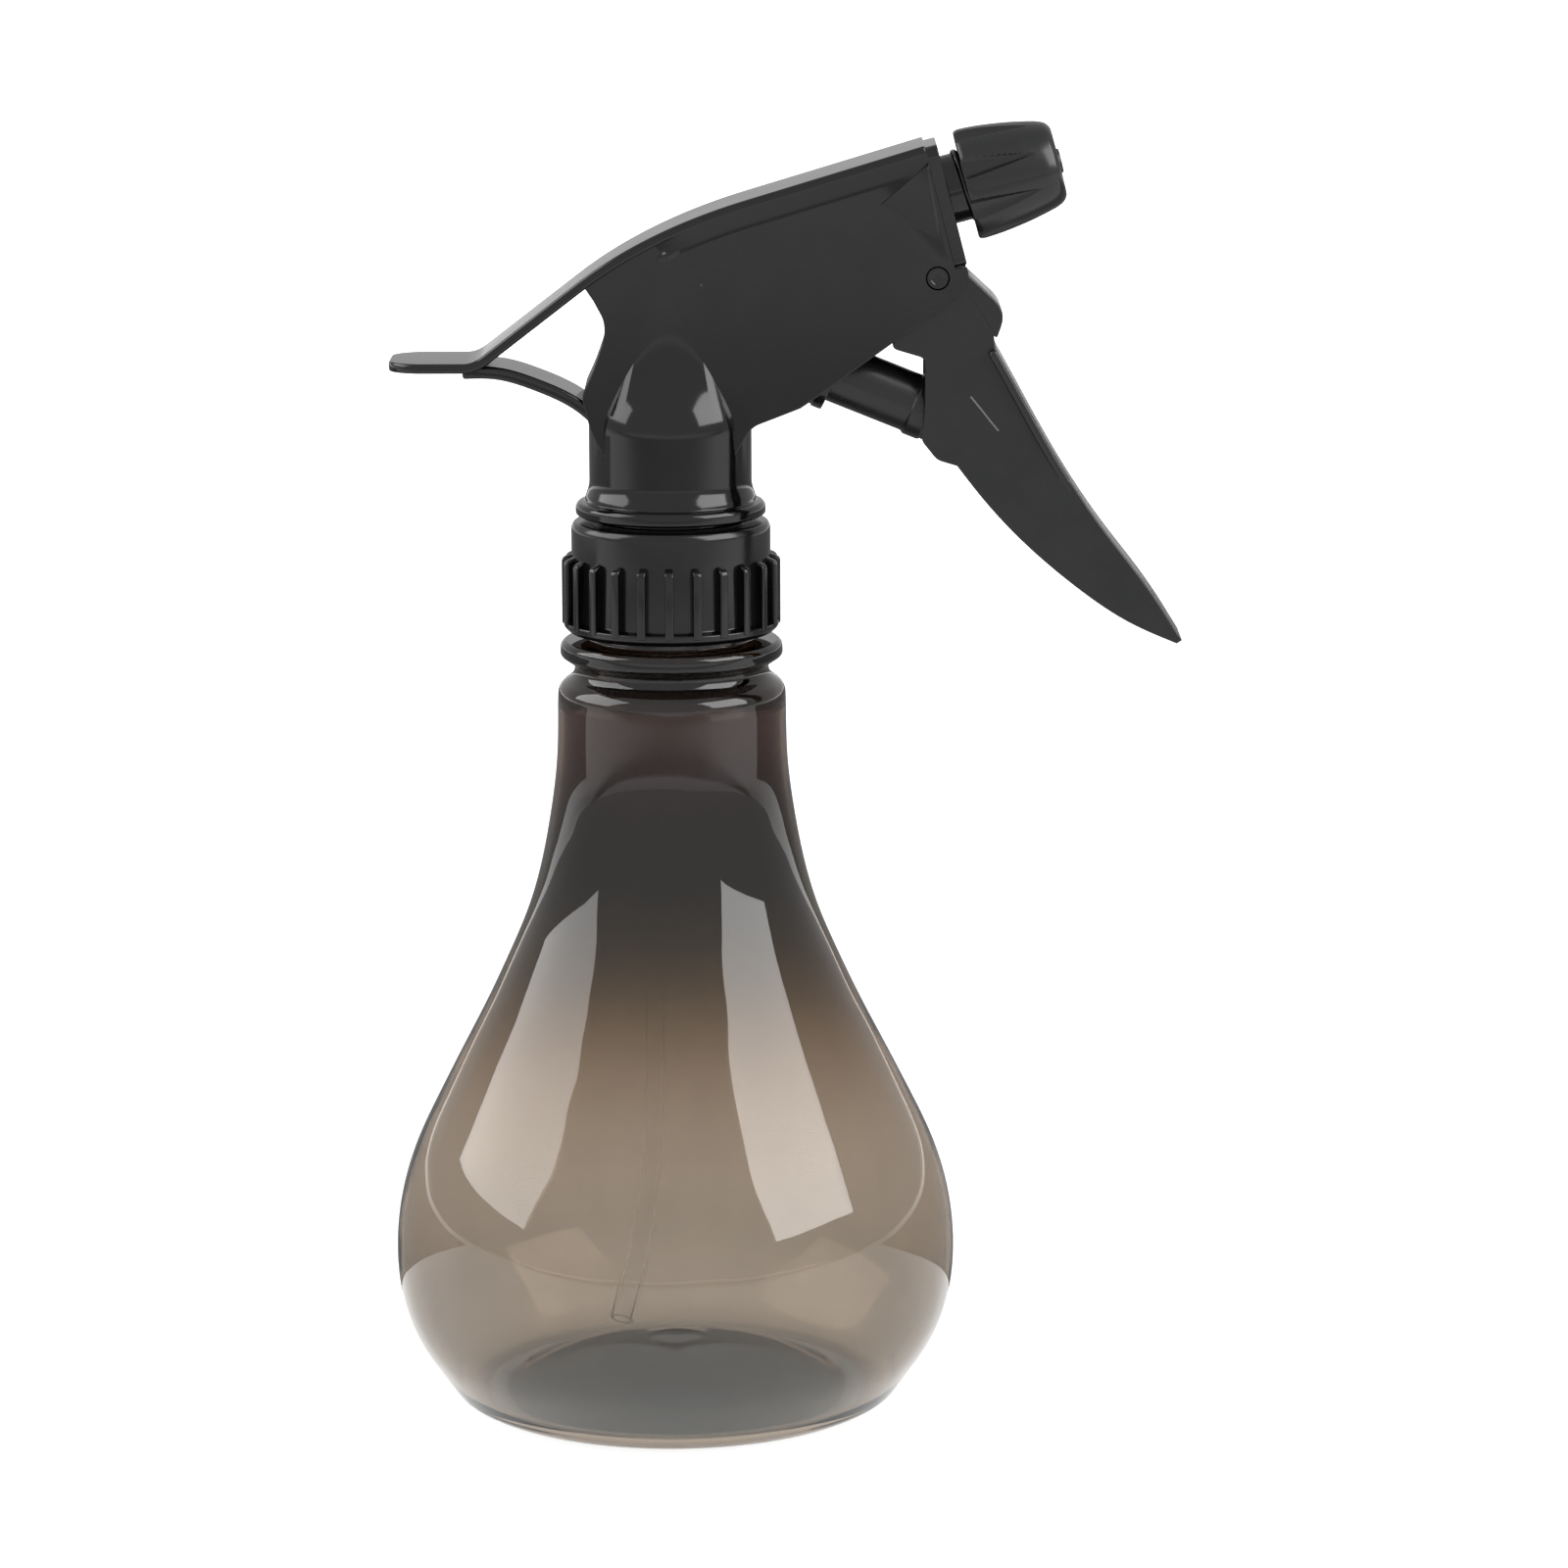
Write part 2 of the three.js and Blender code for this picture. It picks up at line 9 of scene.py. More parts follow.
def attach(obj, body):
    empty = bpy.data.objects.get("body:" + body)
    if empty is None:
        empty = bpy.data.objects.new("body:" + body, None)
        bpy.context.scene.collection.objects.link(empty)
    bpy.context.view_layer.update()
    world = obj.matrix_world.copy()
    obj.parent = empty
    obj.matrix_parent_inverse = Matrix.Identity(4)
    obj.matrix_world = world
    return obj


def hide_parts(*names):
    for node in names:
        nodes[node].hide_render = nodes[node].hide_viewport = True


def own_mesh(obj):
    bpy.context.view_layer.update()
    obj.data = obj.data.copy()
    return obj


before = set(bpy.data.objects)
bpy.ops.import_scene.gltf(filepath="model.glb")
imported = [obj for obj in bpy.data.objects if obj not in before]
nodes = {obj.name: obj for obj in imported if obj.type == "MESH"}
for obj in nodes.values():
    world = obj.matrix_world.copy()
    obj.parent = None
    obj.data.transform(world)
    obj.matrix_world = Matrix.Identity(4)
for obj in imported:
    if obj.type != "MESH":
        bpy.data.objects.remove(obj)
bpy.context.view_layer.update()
scene = bpy.context.scene


# ---------------------------------------------------------------- bottle
# A stretch-blown PET bottle, smoked brown and clear. Neck, support ring and thread are left
# from the moulded preform and stay thick and dark; the pear-shaped belly is blown thin, and
# the base is pushed up inside a standing ring.
MM = 0.001
AXIS_X = -0.0171  # where the bottle's axis stands along X


def smooth_line(points, steps):
    """A cubic spline through the points, cut into that many steps."""
    p = np.array(points, float)
    t = np.r_[0, np.cumsum(np.linalg.norm(np.diff(p, axis=0), axis=1))]
    h = np.diff(t)
    n = len(p)
    system, right = np.eye(n), np.zeros(p.shape)
    for i in range(1, n - 1):
        system[i, i - 1 : i + 2] = h[i - 1], 2 * (h[i - 1] + h[i]), h[i]
        right[i] = 6 * ((p[i + 1] - p[i]) / h[i] - (p[i] - p[i - 1]) / h[i - 1])
    m = np.linalg.solve(system, right)
    s = np.linspace(0, t[-1], steps + 1)
    k = np.clip(np.searchsorted(t, s, side="right") - 1, 0, n - 2)
    u, v, w = (s - t[k])[:, None], (t[k + 1] - s)[:, None], h[k][:, None]
    curve = (m[k] * v**3 + m[k + 1] * u**3) / (6 * w)
    return curve + (p[k] / w - m[k] * w / 6) * v + (p[k + 1] / w - m[k + 1] * w / 6) * u


def quarter(start, corner, end, steps=6):
    """A curve from start to end that leaves and arrives in line with the corner."""
    a, b, c = (np.array(p, float) for p in (start, corner, end))
    return [(1 - t) ** 2 * a + 2 * t * (1 - t) * b + t * t * c for t in np.linspace(0, 1, steps + 1)]


def rounded(corners, closed=False, steps=6):
    """The line through corners of [a, b] or [a, b, rounding length]."""
    line = []
    for i, corner in enumerate(corners):
        here = np.array(corner[:2], float)
        if len(corner) < 3 or (not closed and i in (0, len(corners) - 1)):
            line.append(here)
            continue
        before = np.array(corners[i - 1][:2], float) - here
        after = np.array(corners[(i + 1) % len(corners)][:2], float) - here
        start = here + before / np.linalg.norm(before) * corner[2]
        end = here + after / np.linalg.norm(after) * corner[2]
        line.extend(quarter(start, here, end, steps))
    return line


def side_step(points, distance):
    """The line moved sideways, to its right as it is followed."""
    p = np.array(points, float)
    along = np.gradient(p, axis=0)
    along /= np.linalg.norm(along, axis=1)[:, None]
    return p + distance * np.stack([along[:, 1], -along[:, 0]], 1)


def solid(points, faces):
    """A closed body in mm about the bottle's axis, with its normals outwards."""
    mesh = bpy.data.meshes.new("body")
    mesh.from_pydata(np.array(points, float).tolist(), [], faces)
    body = bmesh.new()
    body.from_mesh(mesh)
    bmesh.ops.remove_doubles(body, verts=body.verts, dist=1e-4)
    bmesh.ops.recalc_face_normals(body, faces=body.faces)
    body.to_mesh(mesh)
    body.free()
    return bpy.data.objects.new("body", mesh)


def lathe(profile, sides=160):
    """A body turned about Z from [radius, height] points. It meets the axis or closes a ring."""
    turn = np.linspace(0, 2 * math.pi, sides, endpoint=False)
    points, rings = [], []
    for radius, height in profile:
        count = 1 if radius < 1e-6 else sides
        rings.append(range(len(points), len(points) + count))
        points += [(radius * math.cos(a), radius * math.sin(a), height) for a in turn[:count]]
    faces = []
    for low, high in zip(rings, rings[1:]):
        for i in range(sides):
            j = (i + 1) % sides
            face = [low[i % len(low)], low[j % len(low)], high[j % len(high)], high[i % len(high)]]
            faces.append(list(dict.fromkeys(face)))
    return solid(points, [f for f in faces if len(f) > 2])


def placed(body, name, material, crease=35, flats=False):
    """The finished piece: metres, in the row frame, creased where its faces meet sharply."""
    mesh = body.data
    mesh.transform(Matrix.Translation((AXIS_X, 0, 0)) @ Matrix.Scale(MM, 4))
    mesh.polygons.foreach_set("use_smooth", [True] * len(mesh.polygons))
    mesh.set_sharp_from_angle(angle=math.radians(crease))
    mesh.materials.clear()
    mesh.materials.append(material)
    piece = bpy.data.objects.new(name, mesh)
    mesh.name = name
    scene.collection.objects.link(piece)
    if flats:
        level = piece.modifiers.new("level flats", "WEIGHTED_NORMAL")
        level.keep_sharp = True
        level.weight = 80
    return piece


def new_material(name, colour, roughness, **numbers):
    """A material with a Principled shader, and the shader's own numbers set on it."""
    material = bpy.data.materials.new(name)
    material.use_nodes = True
    shader = material.node_tree.nodes["Principled BSDF"]
    shader.inputs["Base Color"].default_value = (*colour, 1)
    shader.inputs["Roughness"].default_value = roughness
    for socket, value in numbers.items():
        shader.inputs[socket.replace("_", " ")].default_value = value
    return material, material.node_tree, shader


def node(tree, kind, inputs=None, **settings):
    """A node with its settings, and its inputs linked to sockets or set to values."""
    made = tree.nodes.new(kind)
    for key, value in settings.items():
        setattr(made, key, value)
    for key, value in (inputs or {}).items():
        if isinstance(value, bpy.types.NodeSocket):
            tree.links.new(value, made.inputs[key])
        else:
            made.inputs[key].default_value = value
    return made


def colour_stops(tree, factor, stops):
    """A colour ramp with the given (place, colour) stops, blended smoothly."""
    ramp = node(tree, "ShaderNodeValToRGB", {"Fac": factor})
    ramp.color_ramp.interpolation = "B_SPLINE"
    while len(ramp.color_ramp.elements) < len(stops):
        ramp.color_ramp.elements.new(0.5)
    for element, (place, colour) in zip(ramp.color_ramp.elements, stops):
        element.position = place
        element.color = (*colour, 1)
    return ramp.outputs["Color"]


# the smoke's depth in one wall, from the base up: height in mm, then the colour let through
SMOKE = [
    (0, (0.68, 0.65, 0.6)), (8, (0.6, 0.57, 0.525)), (14, (0.485, 0.46, 0.42)),
    (20, (0.53, 0.497, 0.452)), (27, (0.568, 0.528, 0.48)), (36, (0.6, 0.556, 0.5)),
    (44, (0.585, 0.532, 0.466)),
    (52, (0.5, 0.437, 0.366)), (60, (0.35, 0.284, 0.22)), (68, (0.19, 0.153, 0.103)),
    (76, (0.095, 0.08, 0.056)), (86, (0.05, 0.047, 0.044)), (96, (0.096, 0.075, 0.066)),
    (106, (0.215, 0.15, 0.138)), (111, (0.144, 0.125, 0.118)), (119, (0.1, 0.1, 0.1)),
    (132, (0.1, 0.1, 0.1)),
]
# the base's tint is partly the thick smoked plastic and partly painted shade for the bottle's shadow
# beneath it
BASE_SMOKE_AND_SHADE = (0.215, 0.26, 0.3)  # the thick pushed-up base, which lets less through
BASE_EDGE, BASE_FULL = 0.0335, 0.026  # off the axis: where the base's tint starts and is full
BASE_TOP = 0.0095  # the base's tint stays below this height
BOTTLE_TOP = 131.8
smoked, tree, shader = new_material(
    "smoked_clear", (0.5, 0.43, 0.36), 0.02, Transmission_Weight=1.0, IOR=1.46,
)
place = node(tree, "ShaderNodeTexCoord").outputs["Object"]
centred = node(tree, "ShaderNodeMapping", {"Vector": place, "Location": (-AXIS_X, 0, 0)})
spot = node(tree, "ShaderNodeSeparateXYZ", {"Vector": centred.outputs["Vector"]}).outputs
height = spot["Z"]
climb = node(tree, "ShaderNodeMapRange", {"Value": height, "From Max": BOTTLE_TOP * MM})
smoke = colour_stops(tree, climb.outputs["Result"], [(z / BOTTLE_TOP, c) for z, c in SMOKE])
across = node(tree, "ShaderNodeCombineXYZ", {"X": spot["X"], "Y": spot["Y"]})
off_axis = node(tree, "ShaderNodeVectorMath", {0: across.outputs[0]}, operation="LENGTH")
central = node(tree, "ShaderNodeMapRange", {
    "Value": off_axis.outputs["Value"], "From Min": BASE_EDGE, "From Max": BASE_FULL,
}, interpolation_type="SMOOTHSTEP")
low = node(tree, "ShaderNodeMath", {0: height, 1: BASE_TOP}, operation="LESS_THAN")
is_base = node(tree, "ShaderNodeMath", {
    0: central.outputs["Result"], 1: low.outputs[0],
}, operation="MULTIPLY")
# the base's tint mixed in: thick smoked plastic, darkened further with painted shade for the shadow under
# the bottle
smoke = node(tree, "ShaderNodeMix", {
    "Factor": is_base.outputs[0], 6: smoke, 7: (*BASE_SMOKE_AND_SHADE, 1),
}, data_type="RGBA").outputs[2]
flow = node(tree, "ShaderNodeMapping", {"Vector": place, "Scale": (1, 1, 0.25)})
streaks = node(tree, "ShaderNodeTexNoise", {"Vector": flow.outputs["Vector"], "Scale": 160, "Detail": 3})
streak = node(tree, "ShaderNodeMapRange", {
    "Value": streaks.outputs["Fac"], "To Min": 0.93, "To Max": 1.05,
})
tinted = node(tree, "ShaderNodeVectorMath", {0: smoke, 1: streak.outputs["Result"]}, operation="MULTIPLY")
tree.links.new(tinted.outputs["Vector"], shader.inputs["Base Color"])
swell = node(tree, "ShaderNodeTexNoise", {"Vector": place, "Scale": 42, "Detail": 2, "Roughness": 0.4})
wave = node(tree, "ShaderNodeBump", {"Height": swell.outputs["Fac"], "Distance": 0.00022, "Strength": 1})
tree.links.new(wave.outputs["Normal"], shader.inputs["Normal"])
dimmed = node(tree, "ShaderNodeVolumeAbsorption", {"Color": (0.8, 0.75, 0.7, 1), "Density": 1000})
tree.links.new(dimmed.outputs[0], tree.nodes["Material Output"].inputs["Volume"])

WALL = 0.9  # the blown wall's thickness
belly = smooth_line([
    (35.6, 3.2), (37.2, 5.5), (39.6, 9.1), (42.2, 15.6), (43.1, 24.1), (42.1, 32.8), (39.9, 39.9),
    (36.5, 47.2), (32.7, 54.7), (28.8, 62.3), (25.2, 70), (22.1, 77.5), (20, 85), (18.6, 92.5),
    (17.67, 99.9), (17.4, 109),
], 110)
base_dome = [(0, 6.3), (1.6, 6.3), *smooth_line([
    (2.4, 6.9), (3.4, 7.4), (5, 7.2), (8.5, 6.5), (13, 5.6), (18, 4.1), (22.5, 2), (25.4, 0.5),
], 22), (26.5, 0)]
outside = [
    *base_dome,
    *rounded([(26.5, 0), (30, 0, 0.8), (32.6, 0.45, 0.8), (34.4, 1.5, 0.8), (35.6, 3.2)])[1:],
    *belly[1:],
    *rounded([
        (17.4, 109), (17.3, 111.8, 1.2), (14.8, 113.7, 0.9), (14.75, 115.1, 0.5), (16.95, 116.6, 0.5),
        (16.85, 118.3, 0.4), (16.2, 118.9, 0.3), (12.5, 118.9, 0.4), (12.5, BOTTLE_TOP, 0.4),
        (10.9, BOTTLE_TOP, 0.3), (10.9, 114, 2), (15.8, 111.2, 1.2), (16.5, 109),
    ])[1:],
]
inside = [
    *side_step(belly, -WALL)[1:-1][::-1],
    *rounded([(34.6, 3.4), (33, 1.9, 1), (30, 0.95, 0.6), (26.9, 0.95)]),
    *side_step(base_dome[2:-2], -WALL)[::-1], (0, 7.2),
]
bottle = placed(lathe([*outside, *inside], 256), "bottle_shell", smoked, crease=50)
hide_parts("bottle")
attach(bottle, "bottle")


# ---------------------------------------------------------------- neck thread
# The bottle's finish has a right-hand ridge of one and a half turns, moulded with the preform.
# One tree winds every helical ridge and coil of the mister round its own axis.
def winding_tree():
    """A round wire or ridge along a helix: sizes, place and lean are its inputs."""
    tree = bpy.data.node_groups.new("winding", "GeometryNodeTree")
    for name, kind in (
        ("Turns", "Float"), ("Radius", "Float"), ("Rise", "Float"), ("Wire radius", "Float"),
        ("Run out", "Float"), ("Place", "Vector"), ("Lean", "Vector"), ("Finish", "Material"),
    ):
        tree.interface.new_socket(name, in_out="INPUT", socket_type="NodeSocket" + kind)
    tree.interface.new_socket("Geometry", in_out="OUTPUT", socket_type="NodeSocketGeometry")
    given = tree.nodes.new("NodeGroupInput").outputs
    helix = node(tree, "GeometryNodeCurveSpiral", {
        "Resolution": 48, "Rotations": given["Turns"], "Start Radius": given["Radius"],
        "End Radius": given["Radius"], "Height": given["Rise"], "Reverse": True,
    })
    along = node(tree, "GeometryNodeSplineParameter").outputs["Factor"]
    back = node(tree, "ShaderNodeMath", {0: 1.0, 1: along}, operation="SUBTRACT").outputs[0]
    nearest = node(tree, "ShaderNodeMath", {0: along, 1: back}, operation="MINIMUM").outputs[0]
    share = node(tree, "ShaderNodeMapRange", {
        "Value": nearest, "From Max": given["Run out"], "To Min": 0.25, "To Max": 1,
    }).outputs[0]
    shaped = node(tree, "GeometryNodeSetCurveRadius", {"Curve": helix.outputs[0], "Radius": share})
    ring = node(tree, "GeometryNodeCurvePrimitiveCircle", {
        "Resolution": 12, "Radius": given["Wire radius"],
    })
    wire = node(tree, "GeometryNodeCurveToMesh", {
        "Curve": shaped.outputs[0], "Profile Curve": ring.outputs[0], "Scale": share, "Fill Caps": True,
    })
    turned = node(tree, "GeometryNodeTransform", {
        "Geometry": wire.outputs[0], "Translation": given["Place"], "Rotation": given["Lean"],
    })
    real = node(tree, "GeometryNodeRealizeInstances", {"Geometry": turned.outputs[0]})
    painted = node(tree, "GeometryNodeSetMaterial", {
        "Geometry": real.outputs[0], "Material": given["Finish"],
    })
    tree.links.new(painted.outputs[0], tree.nodes.new("NodeGroupOutput").inputs[0])
    return tree


def grown(tree, name, start=None, **inputs):
    """The plain mesh that a tree makes from its named inputs."""
    mesh = start or bpy.data.meshes.new(name)
    host = bpy.data.objects.new(name + "_host", mesh)
    scene.collection.objects.link(host)
    growth = host.modifiers.new("growth", "NODES")
    growth.node_group = tree
    sockets = {s.name: s.identifier for s in tree.interface.items_tree if s.in_out == "INPUT"}
    for key, value in inputs.items():
        growth[sockets[key.replace("_", " ")]] = value
    bpy.context.view_layer.update()
    seen = host.evaluated_get(bpy.context.evaluated_depsgraph_get())
    mesh = bpy.data.meshes.new_from_object(seen)
    bpy.data.objects.remove(host)
    body = bmesh.new()
    body.from_mesh(mesh)
    bmesh.ops.recalc_face_normals(body, faces=body.faces)
    body.to_mesh(mesh)
    body.free()
    mesh.name = name
    mesh.polygons.foreach_set("use_smooth", [True] * len(mesh.polygons))
    mesh.set_sharp_from_angle(angle=math.radians(50))
    piece = bpy.data.objects.new(name, mesh)
    scene.collection.objects.link(piece)
    return piece


def along_axis(origin, lean, distance):
    """The point that far along an axis of the middle plane that leans that far from upright."""
    turn = math.radians(lean)
    return origin[0] + distance * math.sin(turn), origin[1] + distance * math.cos(turn)


def in_frame(point):
    """A point of the middle plane in metres, in the row frame."""
    return point[0] * MM + AXIS_X, 0, point[1] * MM


def wound(name, finish, turns, radius, start, end, wire, run_out=0.0, origin=(0, 0), lean=0.0):
    """A ridge or coil in mm, about an axis through origin that leans that far from upright."""
    return grown(
        WINDING, name, Turns=turns, Radius=radius * MM, Rise=(end - start) * MM, Wire_radius=wire * MM,
        Run_out=max(run_out, 1e-4), Place=in_frame(along_axis(origin, lean, start)),
        Lean=(0, math.radians(lean), 0), Finish=finish,
    )


WINDING = winding_tree()
NECK_TURNS = 1.5
NECK_RISE = NECK_TURNS * 4.2  # at a pitch of 4.2 mm
neck_thread = wound(
    "bottle_neck_thread", smoked, turns=NECK_TURNS, radius=12.45, start=122.6, end=122.6 + NECK_RISE,
    wire=0.85, run_out=0.06,
)
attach(neck_thread, "bottle")


# ---------------------------------------------------------------- gasket, valve seat and ball
# A grey elastomer washer seals the mouth. Under the pump a milky seat is pushed into the riser
# and holds the suction ball of bright steel.
def surface_group():
    """Fine unevenness of a moulded or worn surface: a roughness, a bump height and a mask."""
    group = bpy.data.node_groups.new("fine_surface", "ShaderNodeTree")
    for name, default in (("Grain size", 0.0005), ("Smooth", 0.1), ("Dull", 0.2), ("Specks", 0.0)):
        socket = group.interface.new_socket(name, in_out="INPUT", socket_type="NodeSocketFloat")
        socket.default_value = default
    for name in ("Roughness", "Height", "Mask"):
        group.interface.new_socket(name, in_out="OUTPUT", socket_type="NodeSocketFloat")
    given = group.nodes.new("NodeGroupInput").outputs
    where = node(group, "ShaderNodeTexCoord").outputs["Object"]
    fine = node(group, "ShaderNodeMath", {0: 1.0, 1: given["Grain size"]}, operation="DIVIDE").outputs[0]
    coarse = node(group, "ShaderNodeMath", {0: fine, 1: 0.06}, operation="MULTIPLY").outputs[0]
    grain = node(group, "ShaderNodeTexNoise", {"Vector": where, "Scale": fine, "Detail": 3})
    cloud = node(group, "ShaderNodeTexNoise", {
        "Vector": where, "Scale": coarse, "Detail": 4, "Roughness": 0.6,
    })
    spread = node(group, "ShaderNodeMapRange", {
        "Value": cloud.outputs["Fac"], "From Min": 0.35, "From Max": 0.65,
        "To Min": given["Smooth"], "To Max": given["Dull"],
    })
    speck = node(group, "ShaderNodeTexVoronoi", {"Vector": where, "Scale": 420})
    dot = node(group, "ShaderNodeMath", {0: speck.outputs["Distance"], 1: 0.09}, operation="LESS_THAN")
    rare = node(group, "ShaderNodeMath", {0: speck.outputs["Color"], 1: 0.93}, operation="GREATER_THAN")
    mask = node(group, "ShaderNodeMath", {0: dot.outputs[0], 1: rare.outputs[0]}, operation="MULTIPLY")
    mask = node(group, "ShaderNodeMath", {0: mask.outputs[0], 1: given["Specks"]}, operation="MULTIPLY")
    end = group.nodes.new("NodeGroupOutput").inputs
    group.links.new(spread.outputs["Result"], end["Roughness"])
    group.links.new(grain.outputs["Fac"], end["Height"])
    group.links.new(mask.outputs[0], end["Mask"])
    return group


FINE_SURFACE = surface_group()


def moulded(name, colour, smooth, dull, grain=0.0005, depth=0.000004, specks=0.0, **numbers):
    """A plastic, rubber or metal whose gloss and colour change a little over the surface."""
    material, tree, shader = new_material(name, colour, smooth, **numbers)
    surface = node(tree, "ShaderNodeGroup", node_tree=FINE_SURFACE)
    for key, value in (("Grain size", grain), ("Smooth", smooth), ("Dull", dull), ("Specks", specks)):
        surface.inputs[key].default_value = value
    tree.links.new(surface.outputs["Roughness"], shader.inputs["Roughness"])
    bump = node(tree, "ShaderNodeBump", {
        "Height": surface.outputs["Height"], "Distance": depth, "Strength": 1,
    })
    tree.links.new(bump.outputs["Normal"], shader.inputs["Normal"])
    dusty = tuple(min(1, c * 1.6 + 0.05) for c in colour)
    shade = node(tree, "ShaderNodeMix", {"Factor": surface.outputs["Mask"]}, data_type="RGBA")
    shade.inputs[6].default_value = (*colour, 1)
    shade.inputs[7].default_value = (*dusty, 1)
    tree.links.new(shade.outputs[2], shader.inputs["Base Color"])
    return material


rubber = moulded(
    "grey_seal_rubber", (0.16, 0.165, 0.17), smooth=0.55, dull=0.75, grain=0.0003, depth=0.00001,
)
milky = moulded(
    "milky_plastic", (0.66, 0.66, 0.62), smooth=0.3, dull=0.5,
    Subsurface_Weight=0.2, Subsurface_Scale=0.001,
)
steel = moulded("bright_steel", (0.6, 0.61, 0.62), smooth=0.14, dull=0.3, grain=0.0002, Metallic=1.0)


def finish_node(name, material):
    """A CAD piece keeps its shape and takes this finish."""
    nodes[name].data.materials.clear()
    nodes[name].data.materials.append(material)


for name, material in (
    ("neck_gasket", rubber), ("tube_adapter", milky), ("piston_seal", rubber), ("vent_seal", rubber),
    ("discharge_tube", milky), ("outlet_valve", rubber), ("swirl_core", milky),
):
    finish_node(name, material)

BALL_RADIUS, BALL_HEIGHT = 2.1, 142.3
ball_line = [
    (BALL_RADIUS * math.sin(t), BALL_HEIGHT - BALL_RADIUS * math.cos(t))
    for t in np.linspace(0, math.pi, 33)
]
ball_line[0], ball_line[-1] = (0, BALL_HEIGHT - BALL_RADIUS), (0, BALL_HEIGHT + BALL_RADIUS)
ball = placed(lathe(ball_line, 48), "suction_ball", steel, crease=80)
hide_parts("inlet_ball")
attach(ball, "inlet_ball")


# ---------------------------------------------------------------- dip tube
# A very clear extruded tube, pushed into the valve seat. It bends from being coiled in its bag,
# and reaches the heel of the base.
clear, tree, shader = new_material(
    "clear_extrusion", (0.985, 0.987, 0.985), 0.03, Transmission_Weight=1.0, IOR=1.12,
)
drawn = node(tree, "ShaderNodeMapping", {
    "Vector": node(tree, "ShaderNodeTexCoord").outputs["Object"], "Scale": (1, 1, 0.02),
})
lines = node(tree, "ShaderNodeTexNoise", {"Vector": drawn.outputs["Vector"], "Scale": 2500, "Detail": 2})
haze = node(tree, "ShaderNodeMapRange", {"Value": lines.outputs["Fac"], "To Min": 0.0, "To Max": 0.05})
tree.links.new(haze.outputs["Result"], shader.inputs["Roughness"])


def swept(route, rings, sides=40):
    """A tube along the route, through the radii of its wall: outside, then inside."""
    p = np.array(route)
    along = np.gradient(p, axis=0)
    along /= np.linalg.norm(along, axis=1)[:, None]
    across = np.cross(along, (0, 1, 0))
    across /= np.linalg.norm(across, axis=1)[:, None]
    third = np.cross(along, across)
    turn = np.linspace(0, 2 * math.pi, sides, endpoint=False)
    points = []
    for order, radius in ((range(len(p)), rings[0]), (reversed(range(len(p))), rings[1])):
        for i in order:
            points += [p[i] + radius * (math.cos(a) * across[i] + math.sin(a) * third[i]) for a in turn]
    count = 2 * len(p)
    faces = []
    for ring in range(count):
        after = (ring + 1) % count
        for i in range(sides):
            j = (i + 1) % sides
            faces.append([ring * sides + i, ring * sides + j, after * sides + j, after * sides + i])
    return solid(points, faces)


TUBE_RADII = (1.9, 1.3)
tube_route = smooth_line([
    (0, 0, 136.9), (0, 0, 129), (0, 0, 122), (-0.3, 0, 114), (-2.3, 0.6, 92), (-3, 1, 55),
    (-5, 1.6, 26), (-8.5, 2.4, 10.5),
], 70)
tube = placed(swept(tube_route, TUBE_RADII), "clear_dip_tube", clear, crease=60)
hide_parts("dip_tube")
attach(tube, "head")


# ---------------------------------------------------------------- closure
# The ribbed screw collar, injection moulded in black. It has a plain band at the top, grip ribs
# with flat crowns below it, and a foot ring that the ribs run down to.
BLACK_IOR = 1.42
ribbed_black = moulded(
    "ribbed_black", (0.0015, 0.0016, 0.0019), smooth=0.16, dull=0.24, specks=0.5, depth=0.000003,
    IOR=BLACK_IOR,
)
RIBS = 24
collar_profile = rounded([
    (13.9, 120.2), (15.4, 120.2, 0.4), (16.35, 121.1, 0.4), (16.4, 121.9, 0.25), (15.25, 122.25, 0.25),
    (15.1, 130, 0.5), (15.1, 136.4, 0.6), (14.6, 137.1, 0.4), (11.3, 137.1), (11.3, 135.7), (13.9, 135.7),
    (13.9, 120.2),
], steps=5)
collar = placed(lathe(collar_profile, 192), "closure_collar", ribbed_black)
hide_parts("closure")


def inset(outline, distance):
    """A closed outline moved inwards."""
    p = np.array(outline, float)
    p = p[np.linalg.norm(p - np.roll(p, 1, axis=0), axis=1) > 1e-6]
    ahead = np.roll(p, -1, axis=0) - p
    ahead /= np.linalg.norm(ahead, axis=1)[:, None]
    before = np.roll(ahead, 1, axis=0)
    out = np.stack([ahead[:, 1] + before[:, 1], -ahead[:, 0] - before[:, 0]], 1)
    out /= (1 + (ahead * before).sum(1))[:, None]
    area = (p[:, 0] * np.roll(p[:, 1], -1) - np.roll(p[:, 0], -1) * p[:, 1]).sum()
    return p - math.copysign(distance, area) * out


def loft(sections):
    """A body through closed sections with the same number of points, its two ends capped."""
    count = len(sections[0])
    points = [p for section in sections for p in section]
    faces = []
    for k in range(len(sections) - 1):
        for i in range(count):
            j = (i + 1) % count
            faces.append([k * count + i, k * count + j, (k + 1) * count + j, (k + 1) * count + i])
    faces.append(list(range(count)))
    faces.append(list(range((len(sections) - 1) * count, len(sections) * count)))
    return solid(points, faces)


def sheet_prism(outline, low, high, rim=0.0, steps=4):
    """A body with that outline across two axes and flat ends on the third, its rims rounded."""
    turns = np.linspace(0, math.pi / 2, steps + 1) if rim else [math.pi / 2]
    levels = [(rim * (1 - math.cos(t)), rim * (1 - math.sin(t))) for t in turns]
    stack = [(low + rise, narrow) for rise, narrow in levels]
    stack += [(high - rise, narrow) for rise, narrow in reversed(levels)]
    return loft([[(a, b, c) for a, b in inset(outline, narrow)] for c, narrow in stack])


def upright(body):
    """An outline across X and Z, its thickness along Y."""
    body.data.transform(Matrix.Rotation(math.pi / 2, 4, "X"))
    return body


